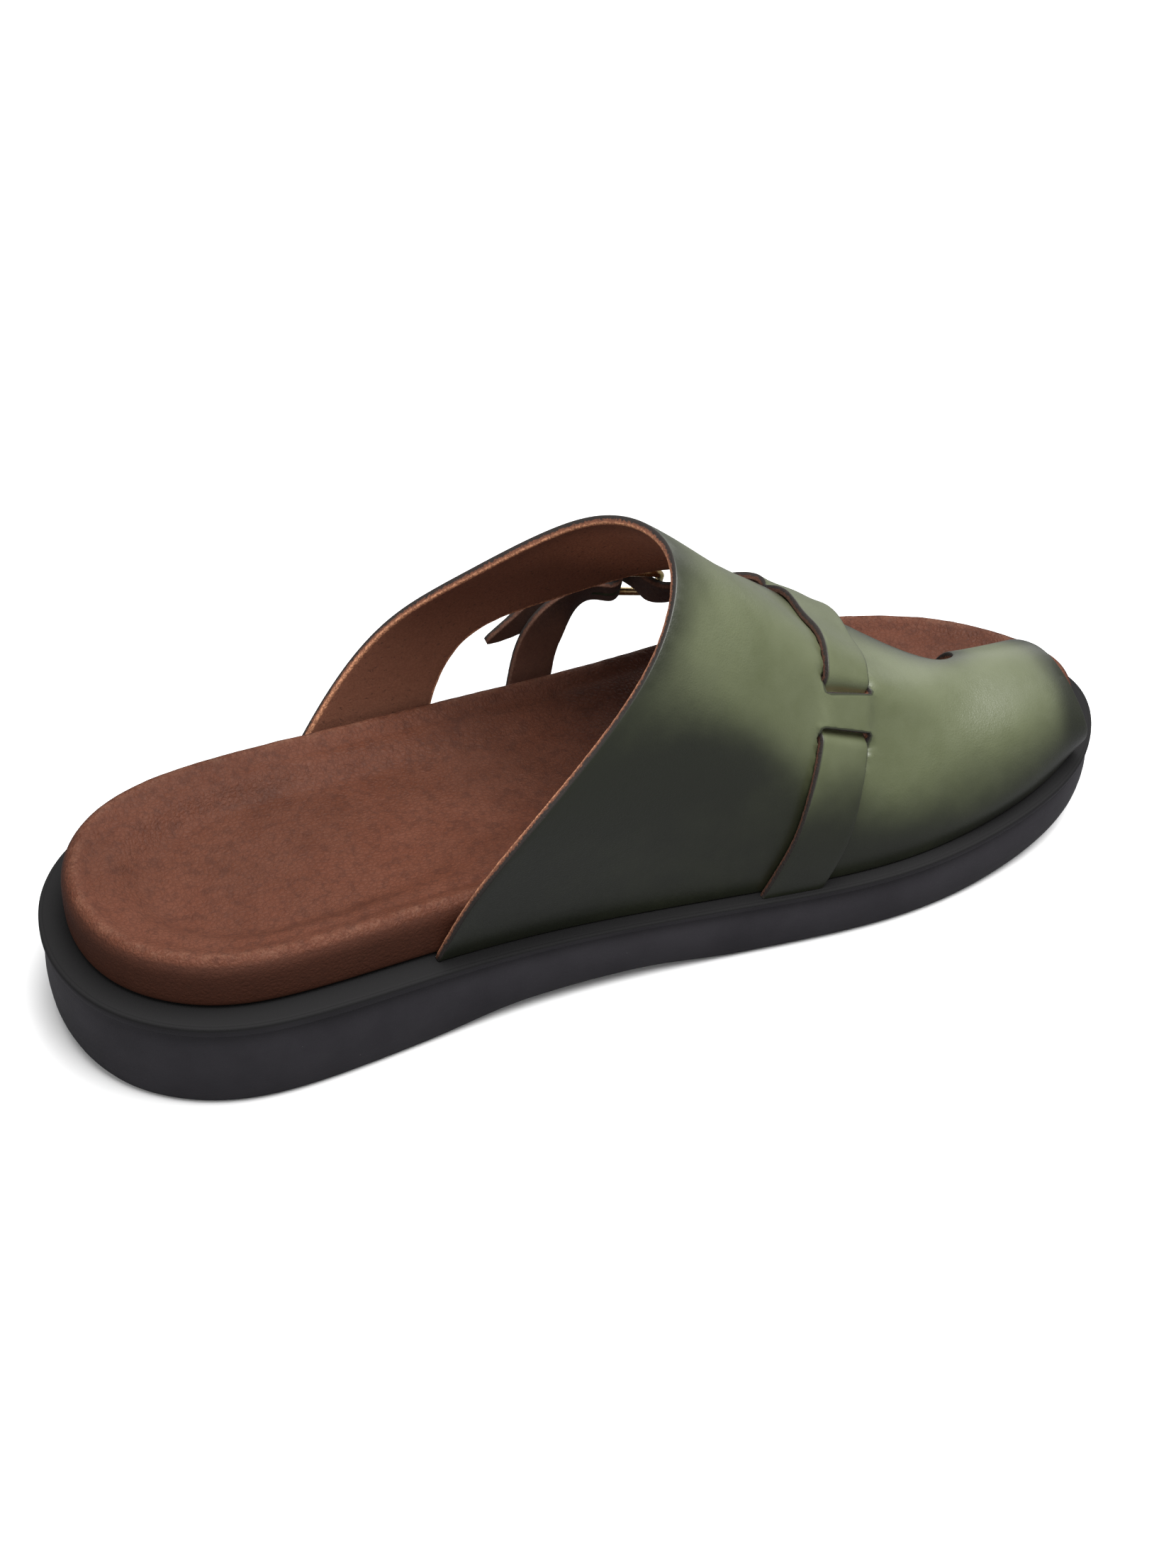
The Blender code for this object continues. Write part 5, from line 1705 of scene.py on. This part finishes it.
def moulded_rubber():
    material, tree, shader = new_finish("moulded rubber", (0.02, 0.02, 0.022))
    matte = mark_value(tree, "matte")
    slow = place_group(tree, CLOUDY_TONE, size=26.0)
    tooth = noise_at(tree, scaled_place(tree, 0.45), 3.0, 0.65)
    dust = place_group(tree, SPECKS, size=7.0, width=0.022)
    stretched = tree.nodes.new("ShaderNodeMapping")
    stretched.inputs["Scale"].default_value = (40.0, 40.0, 700.0)
    tree.links.new(tree.nodes.new("ShaderNodeTexCoord").outputs["Object"], stretched.inputs["Vector"])
    streaks = noise_at(tree, stretched.outputs[0], 3.0, 0.6)
    wall = blend_colour(tree, slow["Tone"], RUBBER_DARK, RUBBER_PALE)
    colour = blend_colour(tree, matte, wall, RUBBER_LEDGE)
    shader.inputs["Specular IOR Level"].default_value = 0.32
    colour = blend_colour(tree, times(tree, dust["Mask"], 0.5), colour, GREY_DUST)
    satin = blend_value(tree, streaks, 0.36, 0.50)
    join(tree, (colour, shader.inputs["Base Color"]),
         (blend_value(tree, matte, satin, 0.85), shader.inputs["Roughness"]))
    height = plus(tree, tooth, times(tree, streaks, 0.6))
    relief(tree, shader, height, 0.05)
    return material


sole.data.materials.clear()
sole.data.materials.append(moulded_rubber())
print("the sole is rubber")

# %% [markdown]
# ### Brass
#
# The buckle is polished, with hair-fine scratches and slightly duller patches.

# %% Material: brass
BRASS_DARK = (0.66, 0.47, 0.22)
BRASS_PALE = (0.84, 0.66, 0.38)


def brass():
    material, tree, shader = new_finish("brass", (0.78, 0.62, 0.36))
    slow = place_group(tree, CLOUDY_TONE, size=5.0)
    scratches = noise_at(tree, scaled_place(tree, 0.35), 5.0, 0.7)
    colour = blend_colour(tree, slow["Tone"], BRASS_DARK, BRASS_PALE)
    join(tree, (colour, shader.inputs["Base Color"]),
         (blend_value(tree, scratches, 0.16, 0.34), shader.inputs["Roughness"]))
    shader.inputs["Metallic"].default_value = 1.0
    relief(tree, shader, scratches, 0.02)
    return material


BRASS = brass()
for piece in (buckle, prong):
    piece.data.materials.append(BRASS)
print("the buckle is brass")

# %% [markdown]
# ## Floor, light and camera
#
# The shoe stands on a pale, plain floor. One large soft light hangs overhead. A second stands low beyond
# the shoe and draws the long sheen over the leather, and two weak ones fill the heel and the near side.
# The camera looks down at the inner side from behind the heel, close enough for strong perspective.
#
# White paper throws light back up and greys every dark wall near it. A studio lays dark cards round the
# object against that. Here the Light Path node does it: only the camera sees the paper white.

# %% Floor
FLOOR_TO_LIGHT = (0.13, 0.13, 0.135)
FLOOR_TO_CAMERA = (0.86, 0.86, 0.86)
bpy.ops.mesh.primitive_plane_add(size=8.0, location=(0.0, 0.0, 0.0))
floor = bpy.context.object
floor.name = "floor"
paper, tree, shader = new_finish("paper", (0.9, 0.9, 0.9))
seen = tree.nodes.new("ShaderNodeLightPath").outputs["Is Camera Ray"]
join(tree, (blend_colour(tree, seen, FLOOR_TO_LIGHT, FLOOR_TO_CAMERA), shader.inputs["Base Color"]))
shader.inputs["Roughness"].default_value = 0.9
shader.inputs["Specular IOR Level"].default_value = 0.1
floor.data.materials.append(paper)
floor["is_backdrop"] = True
print("the floor is", floor.dimensions.x, "m wide")

# %% Lights
#          name             place                 size         watts
LIGHTS = [("overhead soft", (0.22, 0.22, 1.32), (1.2, 1.2), 39.5),
          ("far panel", (-1.15, 0.95, 0.70), (1.5, 0.9), 5.5),
          ("heel glow", (-0.15, -1.30, 0.75), (1.2, 0.8), 3.0),
          ("near fill", (1.05, -0.75, 0.45), (0.9, 0.5), 3.2)]
centre = (Vector(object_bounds()[0]) + Vector(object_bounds()[1])) / 2
for name, place, (wide, tall), watts in LIGHTS:
    lamp = bpy.data.lights.new(name, "AREA")
    lamp.shape = "RECTANGLE"
    lamp.size = wide
    lamp.size_y = tall
    lamp.energy = watts
    holder = bpy.data.objects.new(name, lamp)
    holder.location = place
    holder.rotation_euler = (centre - Vector(place)).to_track_quat("-Z", "Y").to_euler()
    bpy.context.scene.collection.objects.link(holder)
world = bpy.data.worlds.new("studio")
world.use_nodes = True
world.node_tree.nodes["Background"].inputs["Color"].default_value = (1.0, 1.0, 1.0, 1.0)
world.node_tree.nodes["Background"].inputs["Strength"].default_value = 0.31
bpy.context.scene.world = world
bpy.context.scene.view_settings.view_transform = "Standard"
print(len(LIGHTS), "soft lights and an even sky")

# %% Camera
CAMERA_PLACE = (376.4, -61.6, 385.5)  # in millimetres from the shoe's zero
CAMERA_ROLL = 2.5
LENS = 68.0
AIM_OFFSET = (0.0, 0.0, -0.028)
camera = bpy.data.objects.new("camera", bpy.data.cameras.new("camera"))
camera.data.sensor_fit = "HORIZONTAL"
camera.data.sensor_width = 36.0
camera.data.lens = LENS
camera.location = Vector(CAMERA_PLACE) * MILLIMETRE + SHIFT
aim = centre + Vector(AIM_OFFSET) - camera.location
turn = aim.to_track_quat("-Z", "Y") @ Matrix.Rotation(math.radians(CAMERA_ROLL), 3, "Z").to_quaternion()
camera.rotation_euler = turn.to_euler()
bpy.context.scene.collection.objects.link(camera)
bpy.context.scene.camera = camera
print(f"the camera stands {aim.length:.2f} m from the shoe")
